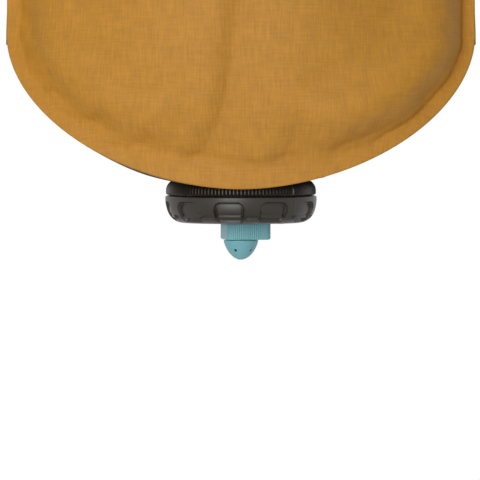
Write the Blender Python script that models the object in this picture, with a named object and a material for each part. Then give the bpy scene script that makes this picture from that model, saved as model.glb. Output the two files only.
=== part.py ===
"""A soft water bag that hangs full from its handle, with a screw cap and a turning shower valve below.

Metres, +Z up, the front towards -Y, the valve open. Heights are measured from the cap's rim, on the
cap's axis, and one empty then carries the whole bag so that the hang point is the scene's origin.
"""

import math

import bmesh
import bpy
import numpy as np
from mathutils import Vector

# Clearances
GAP = 0.0003
RIM_GAP = 0.0004
SEAM_CLEARANCE = 0.0018
THREAD_CLEARANCE = 0.0007

# Bag panels and the weld round them
BAG_WIDTH = 0.2466
BAG_HEIGHT = 0.345
BOTTOM_RISE = 0.080
BOTTOM_SQUARENESS = 1.86
TOP_RISE = 0.070
TOP_SQUARENESS = 2.6
FRONT_DEPTH = 0.065
BACK_DEPTH = 0.057
TOP_FULLNESS = 0.42
TOP_TAPER = 1.5
FABRIC = 0.001
WELD_WIDTH = 0.007
TOP_WELD_WIDTH = 0.026
SEAM_LIFT = 0.0011
SEAM_SWEEP = 0.146
SEAM_CURVE = 2.2
HANG_LINE = 0.003
LENS_CURVE = 2.2
BOX_CURVE_ALONG = 5.0
BOX_CURVE_ACROSS = 5.5
FLAT_MARGIN = 0.0045
FLAT_FADE = 0.026
CORNER_START = 0.62
CORNER_END = 0.90

# Ribbed collar
RING_RADIUS = 0.0396
RING_HEIGHT = 0.0083
RING_ROUND = 0.006
RIB_DEPTH = 0.0008
RIB_FOOT = 0.0006
RIB_COUNT = 124

# Neck and its thread
NECK_BORE = 0.026
NECK_WALL = 0.0035
NECK_BELOW_RIM = 0.0094
FLANGE_INSET = 0.0036
FLANGE = 0.002
WASHER = 0.001
WASHER_INSET = 0.001
THREAD_LEAD = 0.005
THREAD_RISE = 0.0015
THREAD_ROOT = 0.0021
THREAD_CREST = 0.0013
NECK_THREAD_START = 0.0018
NECK_THREAD_TURNS = 1.2
CAP_THREAD_TURNS = 1.03

# Screw cap
CAP_RADIUS = 0.040
CAP_HEIGHT = 0.0144
CAP_FLAT_RADIUS = 0.028
CAP_CURVE_DOWN = 2.5
CAP_CURVE_OUT = 0.357
CAP_FLOOR = 0.003
CAP_CHAMFER = 0.001
GASKET = 0.0014
SCALLOP_COUNT = 10
SCALLOP_PHASE = math.radians(-9.4)
SCALLOP_WIDTH = 0.0168
SCALLOP_TOP = 0.0029
SCALLOP_LIP = 0.0008
SCALLOP_DEPTH = 0.0017
SCALLOP_CORNER = 0.0035

# Valve
STEM_RADIUS = 0.0075
STEM_BORE = 0.0045
STEM_HEAD = 0.0014
STEM_IN_KNOB = 0.0053
SLEEVE_WALL = 0.0022
BOSS_WALL = 0.0025
BOSS_TOP = 0.002
PORT_WIDTH = 0.006
PORT_HEIGHT = 0.005
PORT_CENTRE = -0.0055
STEM_CROWN = 0.004
SEAL_THICKNESS = 0.0011
SEAL_OFFSET = 0.0042
SEAL_GROOVE = 0.0016
CLIP_THICKNESS = 0.0008
CLIP_GROOVE = 0.0014
CLIP_MOUTH = math.radians(70)
CLIP_OVERLAP = 0.0015
KNOB_SHORT_END = 0.0093
KNOB_LONG_END = 0.0143
KNOB_WIDTH = 0.0196
KNOB_CORNER = 0.003
KNOB_EDGE = 0.0011
KNOB_HEIGHT = 0.00855
VALVE_REST = math.radians(14)
VALVE_TRAVEL = math.radians(90)
STOP_OFFSET = 0.010
STOP_WIDTH = 0.0018
STOP_HEIGHT = 0.0014
STOP_HALF_ANGLE = math.radians(8)
STOP_PLAY = math.radians(3)

# Spray rose
ROSE_RADIUS = 0.0092
ROSE_LENGTH = 0.01035
ROSE_CURVE = 1.4
ROSE_WALL = 0.0016
SPIGOT_WALL = 0.0014
SPIGOT_LENGTH = 0.0027
JET_RADIUS = 0.0007
SIDE_JETS = 5
SIDE_JET_PHASE = math.radians(-24)
SIDE_JET_HEIGHT = 0.44
TIP_JETS = 3
TIP_JET_OFFSET = 0.0022

# Webbing
HANDLE_WIDTH = 0.020
HANDLE_THICKNESS = 0.0016
HANDLE_SPAN = 0.090
HANDLE_RISE = 0.050
SEWN_LENGTH = 0.020
FOLD_SLOT = 0.0016
BINDING = 0.001
BINDING_DEPTH = 0.019
BINDING_HALF_WIDTH = 0.062
STRAP_WIDTH = 0.0072
STRAP_THICKNESS = 0.0012
STRAP_OVERHANG = 0.0004
STRAP_LOOP = 0.048
STRAP_LOOPS = 4
STRAP_BOW = 0.0085
STRAP_TAIL = 0.004
STRAP_START = 0.080

# Fineness
BOTTOM_STEPS = 24
SIDE_STEPS = 5
TOP_STEPS = 14
PANEL_ROWS = 10
EDGE_ROWS = (0.0, 0.012, 0.03, 0.06)
ROUND_STEPS = 50
SMALL_STEPS = 24
CURVE_STEPS = 7
THREAD_STEPS = 24
LOOP_STEPS = 6
HANDLE_STEPS = 26
END_STEPS = 4
MERGE = 1e-6

# Heights and radii that follow
HALF_WIDTH = BAG_WIDTH / 2
UNDERSIDE = RIM_GAP + RING_HEIGHT + GAP
BOTTOM_EDGE = UNDERSIDE + FABRIC + SEAM_LIFT - WELD_WIDTH
LOW_CENTRE = BOTTOM_EDGE + BOTTOM_RISE
TOP_EDGE = BOTTOM_EDGE + BAG_HEIGHT
HIGH_CENTRE = TOP_EDGE - TOP_RISE
SEAM_FRONT = -(RING_RADIUS + SEAM_CLEARANCE + FABRIC + GAP / 2)
FLAT_RADIUS = RING_RADIUS + FLAT_MARGIN
FLANGE_RADIUS = RING_RADIUS - FLANGE_INSET
WASHER_LOW = UNDERSIDE + FABRIC + GAP
FLANGE_LOW = WASHER_LOW + WASHER + GAP
NECK_RADIUS = NECK_BORE + NECK_WALL
CAP_BORE = NECK_RADIUS + THREAD_RISE + THREAD_CLEARANCE
CAP_FLOOR_TOP = CAP_FLOOR - CAP_HEIGHT
STEM_HOLE = STEM_RADIUS + GAP
SLEEVE_RADIUS = STEM_HOLE + SLEEVE_WALL
BOSS_BORE = SLEEVE_RADIUS + GAP
BOSS_RADIUS = BOSS_BORE + BOSS_WALL
CLIP_LOW = BOSS_TOP + GAP
CLIP_SEAT = STEM_RADIUS - CLIP_GROOVE
STEM_TOP = CLIP_LOW + CLIP_THICKNESS + GAP + STEM_HEAD
KNOB_TOP = -CAP_HEIGHT - GAP
KNOB_LOW = KNOB_TOP - KNOB_HEIGHT
STEM_LOW = KNOB_TOP - STEM_IN_KNOB
ROSE_TOP = KNOB_LOW - GAP
SPIGOT_BORE = STEM_BORE
SPIGOT_RADIUS = SPIGOT_BORE + SPIGOT_WALL
HINGE_HEIGHT = TOP_EDGE + GAP + BINDING + GAP + HANDLE_THICKNESS / 2
HINGE_DEPTH = HANG_LINE - (GAP / 2 + FABRIC + GAP + BINDING + GAP + HANDLE_THICKNESS / 2)
HANG_HEIGHT = HINGE_HEIGHT + HANDLE_RISE - HANDLE_THICKNESS / 2

FINISHES = {
    "ochre_fabric": ((0.46, 0.22, 0.045), 0.55, 0.0),
    "grey_fabric": ((0.055, 0.055, 0.058), 0.6, 0.0),
    "black_moulding": ((0.022, 0.02, 0.018), 0.42, 0.0),
    "teal_moulding": ((0.14, 0.34, 0.36), 0.38, 0.0),
    "seal_rubber": ((0.03, 0.03, 0.03), 0.8, 0.0),
    "dark_webbing": ((0.03, 0.03, 0.033), 0.85, 0.0),
    "spring_steel": ((0.6, 0.6, 0.6), 0.3, 1.0),
}


def smooth(value):
    """A soft step from 0 at 0 to 1 at 1."""
    value = np.clip(value, 0.0, 1.0)
    return value * value * (3 - 2 * value)


def finish_material(name):
    """The named finish as a Principled material, made once."""
    found = bpy.data.materials.get(name)
    if found:
        return found
    colour, roughness, metallic = FINISHES[name]
    made = bpy.data.materials.new(name)
    made.use_nodes = True
    shader = made.node_tree.nodes["Principled BSDF"]
    shader.inputs["Base Color"].default_value = (*colour, 1.0)
    shader.inputs["Roughness"].default_value = roughness
    shader.inputs["Metallic"].default_value = metallic
    made.diffuse_color = (*colour, 1.0)
    return made


def empty(name, place, parent=None):
    """An axis or a frame that pieces hang on."""
    made = bpy.data.objects.new(name, None)
    made.empty_display_size = 0.01
    made.location = place
    made.parent = parent
    bpy.context.scene.collection.objects.link(made)
    return made


def piece(name, mesh_maker, finish, parent):
    """One object from a bmesh, shaded smooth but for its sharp edges."""
    data = bpy.data.meshes.new(name)
    mesh_maker.to_mesh(data)
    mesh_maker.free()
    data.shade_smooth()
    data.set_sharp_from_angle(angle=math.radians(35))
    made = bpy.data.objects.new(name, data)
    made.parent = parent
    data.materials.append(finish_material(finish))
    bpy.context.scene.collection.objects.link(made)
    return made


def combine(target, tool, operation):
    """A Boolean of the target with a tool that itself stays out of the part."""
    tool.hide_render = True
    tool.display_type = "WIRE"
    tool.parent = target.parent
    modifier = target.modifiers.new(tool.name, "BOOLEAN")
    modifier.operation = operation
    modifier.solver = "EXACT"
    modifier.object = tool


def tidy(mesh_maker):
    """Merges what coincides and turns the faces out."""
    bmesh.ops.remove_doubles(mesh_maker, verts=mesh_maker.verts, dist=MERGE)
    bmesh.ops.recalc_face_normals(mesh_maker, faces=mesh_maker.faces)
    return mesh_maker


def turned(profile, steps=ROUND_STEPS):
    """A (radius, height) outline swept once round the Z axis. One that starts on the axis isn't closed."""
    made = bmesh.new()
    ring = [made.verts.new((radius, 0, height)) for radius, height in profile]
    ends = ring[1:] + ring[:1] if profile[0][0] > 0 else ring[1:]
    edges = [made.edges.new(pair) for pair in zip(ring, ends)]
    bmesh.ops.spin(
        made,
        geom=ring + edges,
        angle=2 * math.pi,
        steps=steps,
        axis=(0, 0, 1),
        cent=(0, 0, 0),
        use_merge=True,
    )
    return tidy(made)


def lofted(sections, closed_path=False):
    """Rings of points, alike in number, joined along their path and capped at its ends."""
    made = bmesh.new()
    rings = [[made.verts.new(point) for point in ring] for ring in sections]
    pairs = list(zip(rings, rings[1:]))
    if closed_path:
        pairs.append((rings[-1], rings[0]))
    else:
        made.faces.new(rings[0])
        made.faces.new(rings[-1])
    for low, high in pairs:
        for i in range(len(low)):
            j = (i + 1) % len(low)
            made.faces.new((low[i], low[j], high[j], high[i]))
    return tidy(made)


def disc(radius, low, high, steps=SMALL_STEPS):
    """A plain cylinder on the Z axis."""
    return turned([(0, low), (radius, low), (radius, high), (0, high)], steps)


def block(low, high):
    """A box between two corners."""
    made = bmesh.new()
    bmesh.ops.create_cube(made, size=1)
    size = Vector(high) - Vector(low)
    middle = (Vector(high) + Vector(low)) / 2
    for vertex in made.verts:
        vertex.co = Vector(a * b + c for a, b, c in zip(vertex.co, size, middle))
    return made


def arc_block(inner, outer, low, high, start, end, steps=CURVE_STEPS):
    """A stretch of a flat ring between two angles."""
    sections = []
    for angle in np.linspace(start, end, steps + 1):
        out = (math.cos(angle), math.sin(angle))
        corners = ((inner, low), (outer, low), (outer, high), (inner, high))
        sections.append([(out[0] * r, out[1] * r, z) for r, z in corners])
    return lofted(sections)


def seam_depth(height):
    """Y of the weld's middle: in front of the collar at the bottom, on the hanging line further up."""
    rise = np.clip((height - BOTTOM_EDGE) / SEAM_SWEEP, 0, 1)
    return HANG_LINE + (SEAM_FRONT - HANG_LINE) * (1 - rise) ** SEAM_CURVE


def bag_outline():
    """Round the weld's outer edge: x, z, the height on the middle line that it faces, and its boxiness."""
    turn = np.linspace(-math.pi / 2, math.pi / 2, BOTTOM_STEPS, endpoint=False)
    climb = np.linspace(LOW_CENTRE, HIGH_CENTRE, SIDE_STEPS, endpoint=False)
    fall = np.linspace(HIGH_CENTRE, LOW_CENTRE, SIDE_STEPS, endpoint=False)
    over = np.linspace(0, math.pi, TOP_STEPS, endpoint=False)
    rounded = 2 / BOTTOM_SQUARENESS
    squared = 2 / TOP_SQUARENESS
    under = np.sign(np.sin(turn)) * np.abs(np.sin(turn)) ** rounded
    across = np.sign(np.cos(over)) * np.abs(np.cos(over)) ** squared
    x = HALF_WIDTH * np.concatenate([under, np.ones(SIDE_STEPS), across, -np.ones(SIDE_STEPS)])
    z_bottom = LOW_CENTRE - BOTTOM_RISE * np.abs(np.cos(turn)) ** rounded
    z_top = HIGH_CENTRE + TOP_RISE * np.abs(np.sin(over)) ** squared
    z = np.concatenate([z_bottom, climb, z_top, fall])
    low = np.full(BOTTOM_STEPS, LOW_CENTRE)
    high = np.full(TOP_STEPS, HIGH_CENTRE)
    facing = np.concatenate([low, climb, high, fall])
    boxy = np.zeros(len(x))
    boxy[:BOTTOM_STEPS] = smooth(np.cos(turn))
    return x, z, facing, boxy


def weld_inner_edge(x, z):
    """The outline drawn in by the weld's width, which grows towards the top."""
    along = np.stack([np.roll(x, -1) - np.roll(x, 1), np.roll(z, -1) - np.roll(z, 1)])
    along /= np.linalg.norm(along, axis=0)
    grow = smooth((z - HIGH_CENTRE) / (TOP_RISE - TOP_WELD_WIDTH))
    width = WELD_WIDTH + (TOP_WELD_WIDTH - WELD_WIDTH) * grow
    return x - along[1] * width, z + along[0] * width


def panel_rows(side):
    """Rows of points from the weld's outer edge to the panel's middle line. side is -1 in front, 1 behind.

    Each column is a superellipse from the weld to the middle line: a lens at the front, the sides and
    the top, and nearly a box under the back panel, where it carries the neck.
    """
    x, z, facing, boxy = bag_outline()
    inner_x, inner_z = weld_inner_edge(x, z)
    if side < 0:
        boxy = boxy * 0
    depth = FRONT_DEPTH if side < 0 else BACK_DEPTH
    lift = (facing - LOW_CENTRE) / (HIGH_CENTRE - LOW_CENTRE)
    fullness = 1 - (1 - TOP_FULLNESS) * lift**TOP_TAPER
    weld_y = seam_depth(z) + side * GAP / 2
    middle_y = seam_depth(facing) + fullness * (side * depth - seam_depth(facing))
    reach = np.hypot(inner_x, facing - inner_z)
    turn = math.pi / 2 * smooth(np.linspace(0, 1, 240))
    even = np.arange(1, PANEL_ROWS + 1) / PANEL_ROWS
    shares = np.concatenate([EDGE_ROWS, even])
    columns = []
    for i in range(len(x)):
        power_along = LENS_CURVE + (BOX_CURVE_ALONG - LENS_CURVE) * boxy[i]
        power_across = 1 + (BOX_CURVE_ACROSS - 1) * boxy[i]
        out = np.abs(np.cos(turn)) ** (2 / power_along)
        out[-1] = 0
        up = np.sin(turn) ** (2 / power_across)
        drop = middle_y[i] - weld_y[i]
        run = np.hypot(np.diff(out) * reach[i], np.diff(up) * drop)
        length = np.concatenate([[0], np.cumsum(run)])
        wanted = shares * length[-1]
        out = np.interp(wanted, length, out)
        up = np.interp(wanted, length, up)
        points = np.stack(
            [
                inner_x[i] * out,
                weld_y[i] + drop * up,
                facing[i] + (inner_z[i] - facing[i]) * out,
            ],
            axis=1,
        )
        if boxy[i] > 0:
            points[1:, 2] = flattened(points, out)[1:]
        columns.append(np.vstack([(x[i], weld_y[i], z[i]), points]))
    return np.array(columns)


def flattened(points, out):
    """A column's heights with the underside pressed flat round the neck.

    The flat fades out towards the weld in front, and behind it up the back's rounded corner.
    """
    radius = np.hypot(points[:, 0], points[:, 1])
    behind = smooth(1 - points[:, 1] / points[0, 1])
    front_fade = np.clip(radius[0] - FLAT_RADIUS, MERGE, FLAT_FADE)
    fade = front_fade + (FLAT_FADE - front_fade) * behind
    near = 1 - smooth((radius - FLAT_RADIUS) / fade)
    under = smooth((out - CORNER_START) / (CORNER_END - CORNER_START))
    return points[:, 2] + (UNDERSIDE + FABRIC - points[:, 2]) * near * under


def panel(name, side, finish, parent):
    """One fabric panel: its inner face is drawn, and the fabric's thickness grows outwards."""
    columns = panel_rows(side)
    made = bmesh.new()
    grid = [[made.verts.new(point) for point in column] for column in columns]
    for i, column in enumerate(grid):
        beside = grid[(i + 1) % len(grid)]
        for low in range(len(column) - 1):
            corners = (column[low], beside[low], beside[low + 1], column[low + 1])
            made.faces.new(corners if side < 0 else corners[::-1])
    bmesh.ops.remove_doubles(made, verts=made.verts, dist=MERGE)
    cloth = piece(name, made, finish, parent)
    wall = cloth.modifiers.new("fabric", "SOLIDIFY")
    wall.thickness = FABRIC
    wall.offset = 1
    wall.use_even_offset = True
    return cloth


def back_panel(parent):
    """The back panel wraps under the bag and has the neck's hole in its flat."""
    cloth = panel("back_panel", 1, "grey_fabric", parent)
    hole = disc(NECK_RADIUS + GAP, UNDERSIDE - FABRIC, UNDERSIDE + 2 * FABRIC, ROUND_STEPS)
    combine(cloth, piece("neck_hole", hole, "grey_fabric", parent), "DIFFERENCE")


def helix(root, crest, start, turns):
    """A thread ridge: a tapered section from its root radius to its crest, climbing THREAD_LEAD a turn.

    start is the angle and the height of the section's middle where the ridge begins.
    """
    sections = []
    for share in np.linspace(0, 1, int(THREAD_STEPS * turns) + 1):
        angle = start[0] + 2 * math.pi * turns * share
        height = start[1] + THREAD_LEAD * turns * share
        corners = (
            (root, height - THREAD_ROOT / 2),
            (crest, height - THREAD_CREST / 2),
            (crest, height + THREAD_CREST / 2),
            (root, height + THREAD_ROOT / 2),
        )
        sections.append([(math.cos(angle) * r, math.sin(angle) * r, z) for r, z in corners])
    return lofted(sections)


def neck(parent):
    """The moulded neck: a threaded tube with a flange inside the bag."""
    profile = (
        (NECK_BORE, -NECK_BELOW_RIM),
        (NECK_RADIUS, -NECK_BELOW_RIM),
        (NECK_RADIUS, FLANGE_LOW),
        (FLANGE_RADIUS, FLANGE_LOW),
        (FLANGE_RADIUS, FLANGE_LOW + FLANGE),
        (NECK_BORE, FLANGE_LOW + FLANGE),
    )
    tube = piece("neck", turned(profile), "black_moulding", parent)
    start = (0, NECK_THREAD_START - NECK_BELOW_RIM)
    ridge = helix(NECK_RADIUS - NECK_WALL / 3, NECK_RADIUS + THREAD_RISE, start, NECK_THREAD_TURNS)
    combine(tube, piece("neck_thread", ridge, "black_moulding", parent), "UNION")


def flat_ring(name, inner, outer, low, high, finish, parent, steps=ROUND_STEPS):
    """A washer, a gasket or a sleeve."""
    profile = ((inner, low), (outer, low), (outer, high), (inner, high))
    return piece(name, turned(profile, steps), finish, parent)


def grip_ring(parent):
    """The collar under the bag, with fine upright ribs that fade out over its rounded shoulder."""
    low = RIM_GAP
    high = low + RING_HEIGHT
    eighth = math.sqrt(0.5)
    profile = (
        (NECK_RADIUS + GAP, low, 0.0),
        (RING_RADIUS - RIB_DEPTH, low, 0.0),
        (RING_RADIUS, low + RIB_FOOT, 1.0),
        (RING_RADIUS, high - RING_ROUND, 1.0),
        (RING_RADIUS - RING_ROUND * (1 - eighth), high - RING_ROUND * (1 - eighth), eighth),
        (RING_RADIUS - RING_ROUND, high, 0.0),
        (NECK_RADIUS + GAP, high, 0.0),
    )
    sections = []
    for step in range(2 * RIB_COUNT):
        angle = math.pi * step / RIB_COUNT
        groove = RIB_DEPTH * (step % 2)
        radii = [r - groove * share for r, z, share in profile]
        points = [(math.cos(angle) * r, math.sin(angle) * r) for r in radii]
        sections.append([(x, y, row[1]) for (x, y), row in zip(points, profile)])
    piece("grip_ring", lofted(sections, closed_path=True), "black_moulding", parent)


def cap_side(height):
    """The cap's outer radius at a height below its rim: upright at the rim, rounding in to the flat."""
    share = np.clip(-height / CAP_HEIGHT, 0, 1)
    return CAP_FLAT_RADIUS + (CAP_RADIUS - CAP_FLAT_RADIUS) * (1 - share**CAP_CURVE_DOWN) ** CAP_CURVE_OUT


def scallop_cutters():
    """The finger recesses: a floor that follows the cap's side, rounded at its two upper corners."""
    made = bmesh.new()
    low = SCALLOP_LIP - CAP_HEIGHT
    top = -SCALLOP_TOP
    arch = top - SCALLOP_CORNER
    turn = np.linspace(0, math.pi / 2, 4)
    heights = np.concatenate([np.linspace(low, arch, 4)[:-1], arch + SCALLOP_CORNER * np.sin(turn)])
    above = np.clip((heights - arch) / SCALLOP_CORNER, 0, 1)
    draw_in = SCALLOP_CORNER * (1 - np.sqrt(1 - above**2))
    for number in range(SCALLOP_COUNT):
        middle = SCALLOP_PHASE - math.pi / 2 + 2 * math.pi * number / SCALLOP_COUNT
        sections = []
        for height, inset in zip(heights, draw_in):
            half = (SCALLOP_WIDTH / 2 - inset) / CAP_RADIUS
            spread = np.linspace(middle - half, middle + half, 5)
            floor = cap_side(height) - SCALLOP_DEPTH
            inside = [(math.cos(a) * floor, math.sin(a) * floor, height) for a in spread]
            out = CAP_RADIUS + SCALLOP_DEPTH
            outside = [(math.cos(a) * out, math.sin(a) * out, height) for a in spread[::-1]]
            sections.append(inside + outside)
        one = lofted(sections)
        data = bpy.data.meshes.new("scallop")
        one.to_mesh(data)
        one.free()
        made.from_mesh(data)
        bpy.data.meshes.remove(data)
    return made


def port_cutter(name, reach, parent):
    """The water way through both sides of the stem, its sleeve and the boss."""
    low = (-reach, -PORT_WIDTH / 2, PORT_CENTRE - PORT_HEIGHT / 2)
    high = (reach, PORT_WIDTH / 2, PORT_CENTRE + PORT_HEIGHT / 2)
    return piece(name, block(low, high), "black_moulding", parent)


def screw_cap(parent):
    """The cap: a scalloped side, a threaded wall, a boss for the valve and an arc groove for its stop."""
    share = np.linspace(0, 1, CURVE_STEPS + 1) ** 0.6
    heights = -CAP_CHAMFER - (CAP_HEIGHT - CAP_CHAMFER) * share
    side = [(float(cap_side(height)), float(height)) for height in heights]
    profile = [
        (CAP_BORE, 0.0),
        (CAP_RADIUS - CAP_CHAMFER, 0.0),
        *side,
        (STEM_HOLE, -CAP_HEIGHT),
        (STEM_HOLE, CAP_FLOOR_TOP),
        (BOSS_BORE, CAP_FLOOR_TOP),
        (BOSS_BORE, BOSS_TOP),
        (BOSS_RADIUS, BOSS_TOP),
        (BOSS_RADIUS, CAP_FLOOR_TOP),
        (CAP_BORE, CAP_FLOOR_TOP),
    ]
    cap = piece("screw_cap", turned(profile), "black_moulding", parent)
    half_ridge = THREAD_ROOT / 2
    pitch_middle = NECK_THREAD_START - NECK_BELOW_RIM + THREAD_LEAD / 2
    top = -half_ridge
    end = 2 * math.pi * (top - pitch_middle) / THREAD_LEAD
    start = (end - 2 * math.pi * CAP_THREAD_TURNS, top - THREAD_LEAD * CAP_THREAD_TURNS)
    ridge = helix(CAP_BORE + THREAD_RISE, CAP_BORE - THREAD_RISE + GAP / 2, start, CAP_THREAD_TURNS)
    combine(cap, piece("cap_thread", ridge, "black_moulding", parent), "UNION")
    combine(cap, piece("scallops", scallop_cutters(), "black_moulding", parent), "DIFFERENCE")
    combine(cap, port_cutter("boss_ports", BOSS_RADIUS + BOSS_WALL, parent), "DIFFERENCE")
    groove = arc_block(
        STOP_OFFSET - STOP_WIDTH / 2 - GAP,
        STOP_OFFSET + STOP_WIDTH / 2 + GAP,
        -CAP_HEIGHT - GAP,
        KNOB_TOP + STOP_HEIGHT + GAP,
        VALVE_REST - STOP_HALF_ANGLE - STOP_PLAY,
        VALVE_REST + VALVE_TRAVEL + STOP_HALF_ANGLE + STOP_PLAY,
    )
    combine(cap, piece("stop_groove", groove, "black_moulding", parent), "DIFFERENCE")


def valve_stem(parent):
    """The hollow stem, closed at the top, with two seal grooves, a clip groove and two side ports."""
    seat = STEM_RADIUS - SEAL_GROOVE
    half = SEAL_THICKNESS / 2 + GAP
    outline = [(STEM_RADIUS, STEM_LOW)]
    for middle in (PORT_CENTRE - SEAL_OFFSET, PORT_CENTRE + SEAL_OFFSET):
        outline += [(STEM_RADIUS, middle - half), (seat, middle - half)]
        outline += [(seat, middle + half), (STEM_RADIUS, middle + half)]
    clip_top = CLIP_LOW + CLIP_THICKNESS + GAP
    outline += [(STEM_RADIUS, CLIP_LOW - GAP), (CLIP_SEAT, CLIP_LOW - GAP)]
    outline += [(CLIP_SEAT, clip_top), (STEM_RADIUS, clip_top), (STEM_RADIUS, STEM_TOP)]
    bore_top = BOSS_TOP - STEM_CROWN
    profile = [(0, bore_top), (STEM_BORE, bore_top), (STEM_BORE, STEM_LOW), *outline, (0, STEM_TOP)]
    stem = piece("valve_stem", turned(profile, SMALL_STEPS), "teal_moulding", parent)
    combine(stem, port_cutter("stem_ports", STEM_RADIUS + STEM_BORE, parent), "DIFFERENCE")


def valve_sleeve(parent):
    """The rubber sleeve that the stem turns in."""
    low = CAP_FLOOR_TOP + GAP
    high = BOSS_TOP - GAP
    sleeve = flat_ring(
        "valve_sleeve", STEM_HOLE, SLEEVE_RADIUS, low, high, "seal_rubber", parent, SMALL_STEPS
    )
    combine(sleeve, port_cutter("sleeve_ports", SLEEVE_RADIUS + SLEEVE_WALL, parent), "DIFFERENCE")


def stem_seal(name, middle, parent):
    """An O-ring in one of the stem's grooves."""
    section = SEAL_THICKNESS / 2
    centre = STEM_RADIUS - SEAL_GROOVE + GAP + section
    angles = [2 * math.pi * i / CURVE_STEPS for i in range(CURVE_STEPS)]
    profile = [(centre + section * math.cos(a), middle + section * math.sin(a)) for a in angles]
    piece(name, turned(profile, SMALL_STEPS), "seal_rubber", parent)


def retaining_clip(parent):
    """The open spring ring that keeps the stem up in the boss."""
    outer = BOSS_BORE + CLIP_OVERLAP
    start = CLIP_MOUTH / 2
    ring = arc_block(
        CLIP_SEAT + GAP,
        outer,
        CLIP_LOW,
        CLIP_LOW + CLIP_THICKNESS,
        start,
        2 * math.pi - start,
        SMALL_STEPS,
    )
    piece("retaining_clip", ring, "spring_steel", parent)


def rounded_plan(low, high, radius, steps=4):
    """An anticlockwise rectangle with round corners."""
    corners = ((high[0], low[1], -1), (high[0], high[1], 0), (low[0], high[1], 1), (low[0], low[1], 2))
    points = []
    for x, y, quarter in corners:
        middle = (x - math.copysign(radius, x), y - math.copysign(radius, y))
        for step in range(steps + 1):
            angle = math.pi / 2 * (quarter + step / steps)
            points.append((middle[0] + radius * math.cos(angle), middle[1] + radius * math.sin(angle)))
    return points


def valve_knob(parent):
    """The turning block: longer on one side of its axis, hollow for the stem and the rose's spigot."""
    half = KNOB_WIDTH / 2
    sections = []
    for height, inset in (
        (KNOB_LOW, KNOB_EDGE),
        (KNOB_LOW + KNOB_EDGE * (1 - math.sqrt(0.5)), KNOB_EDGE * (1 - math.sqrt(0.5))),
        (KNOB_LOW + KNOB_EDGE, 0.0),
        (KNOB_TOP, 0.0),
    ):
        low = (inset - KNOB_SHORT_END, inset - half)
        high = (KNOB_LONG_END - inset, half - inset)
        plan = rounded_plan(low, high, KNOB_CORNER - inset)
        sections.append([(x, y, height) for x, y in plan])
    knob = piece("valve_knob", lofted(sections), "teal_moulding", parent)
    stop = arc_block(
        STOP_OFFSET - STOP_WIDTH / 2,
        STOP_OFFSET + STOP_WIDTH / 2,
        KNOB_TOP - STOP_HEIGHT,
        KNOB_TOP + STOP_HEIGHT,
        -STOP_HALF_ANGLE,
        STOP_HALF_ANGLE,
        2,
    )
    combine(knob, piece("stop_lug", stop, "teal_moulding", parent), "UNION")
    socket = disc(STEM_HOLE, STEM_LOW - GAP, KNOB_TOP + STOP_HEIGHT)
    combine(knob, piece("stem_socket", socket, "teal_moulding", parent), "DIFFERENCE")
    bore = disc(STEM_BORE, KNOB_LOW - FABRIC, STEM_LOW)
    combine(knob, piece("knob_bore", bore, "teal_moulding", parent), "DIFFERENCE")
    counterbore = disc(SPIGOT_RADIUS + GAP, KNOB_LOW - FABRIC, ROSE_TOP + SPIGOT_LENGTH + GAP)
    combine(knob, piece("rose_socket", counterbore, "teal_moulding", parent), "DIFFERENCE")
    knob.rotation_euler.z = VALVE_REST
    for tool in knob.modifiers:
        tool.object.rotation_euler.z = VALVE_REST


def rose_side(share):
    """The rose's outer radius, as a share of its length down from the knob."""
    return ROSE_RADIUS * math.sqrt(1 - share**ROSE_CURVE)


def spray_rose(parent):
    """The hollow rose: a spigot up into the knob, jets round its side and through its tip."""
    shares = [1 - (1 - i / CURVE_STEPS) ** 1.6 for i in range(CURVE_STEPS + 1)]
    side = [(rose_side(s), ROSE_TOP - ROSE_LENGTH * s) for s in shares]
    chamber_top = ROSE_TOP - ROSE_WALL
    chamber_length = ROSE_LENGTH - 2 * ROSE_WALL
    scale = (ROSE_RADIUS - ROSE_WALL) / ROSE_RADIUS
    chamber = [(rose_side(s) * scale, chamber_top - chamber_length * s) for s in shares]
    profile = [
        *chamber[::-1],
        (SPIGOT_BORE, chamber_top),
        (SPIGOT_BORE, ROSE_TOP + SPIGOT_LENGTH),
        (SPIGOT_RADIUS, ROSE_TOP + SPIGOT_LENGTH),
        (SPIGOT_RADIUS, ROSE_TOP),
        *side,
    ]
    rose = piece("spray_rose", turned(profile, SMALL_STEPS), "teal_moulding", parent)
    height = ROSE_TOP - ROSE_LENGTH * SIDE_JET_HEIGHT
    for number in range(SIDE_JETS + TIP_JETS):
        drill = disc(JET_RADIUS, 0, ROSE_RADIUS + ROSE_WALL, CURVE_STEPS)
        tool = piece(f"jet_{number + 1}", drill, "teal_moulding", parent)
        if number < SIDE_JETS:
            tool.location.z = height
            around = SIDE_JET_PHASE - math.pi / 2 + 2 * math.pi * number / SIDE_JETS
            tool.rotation_euler = (0, math.pi / 2, around)
        else:
            around = 2 * math.pi * (number - SIDE_JETS) / TIP_JETS
            reach = (TIP_JET_OFFSET * math.cos(around), TIP_JET_OFFSET * math.sin(around))
            tool.location = (*reach, chamber_top - chamber_length / 2)
            tool.rotation_euler.x = math.pi
        combine(rose, tool, "DIFFERENCE")


def band_section(middle, along_width, along_thickness, width, thickness):
    """The four corners of flat webbing about a point on its path."""
    half_width = Vector(along_width) * width / 2
    half_thickness = Vector(along_thickness) * thickness / 2
    middle = Vector(middle)
    signs = ((-1, -1), (1, -1), (1, 1), (-1, 1))
    return [middle + a * half_width + b * half_thickness for a, b in signs]


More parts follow.
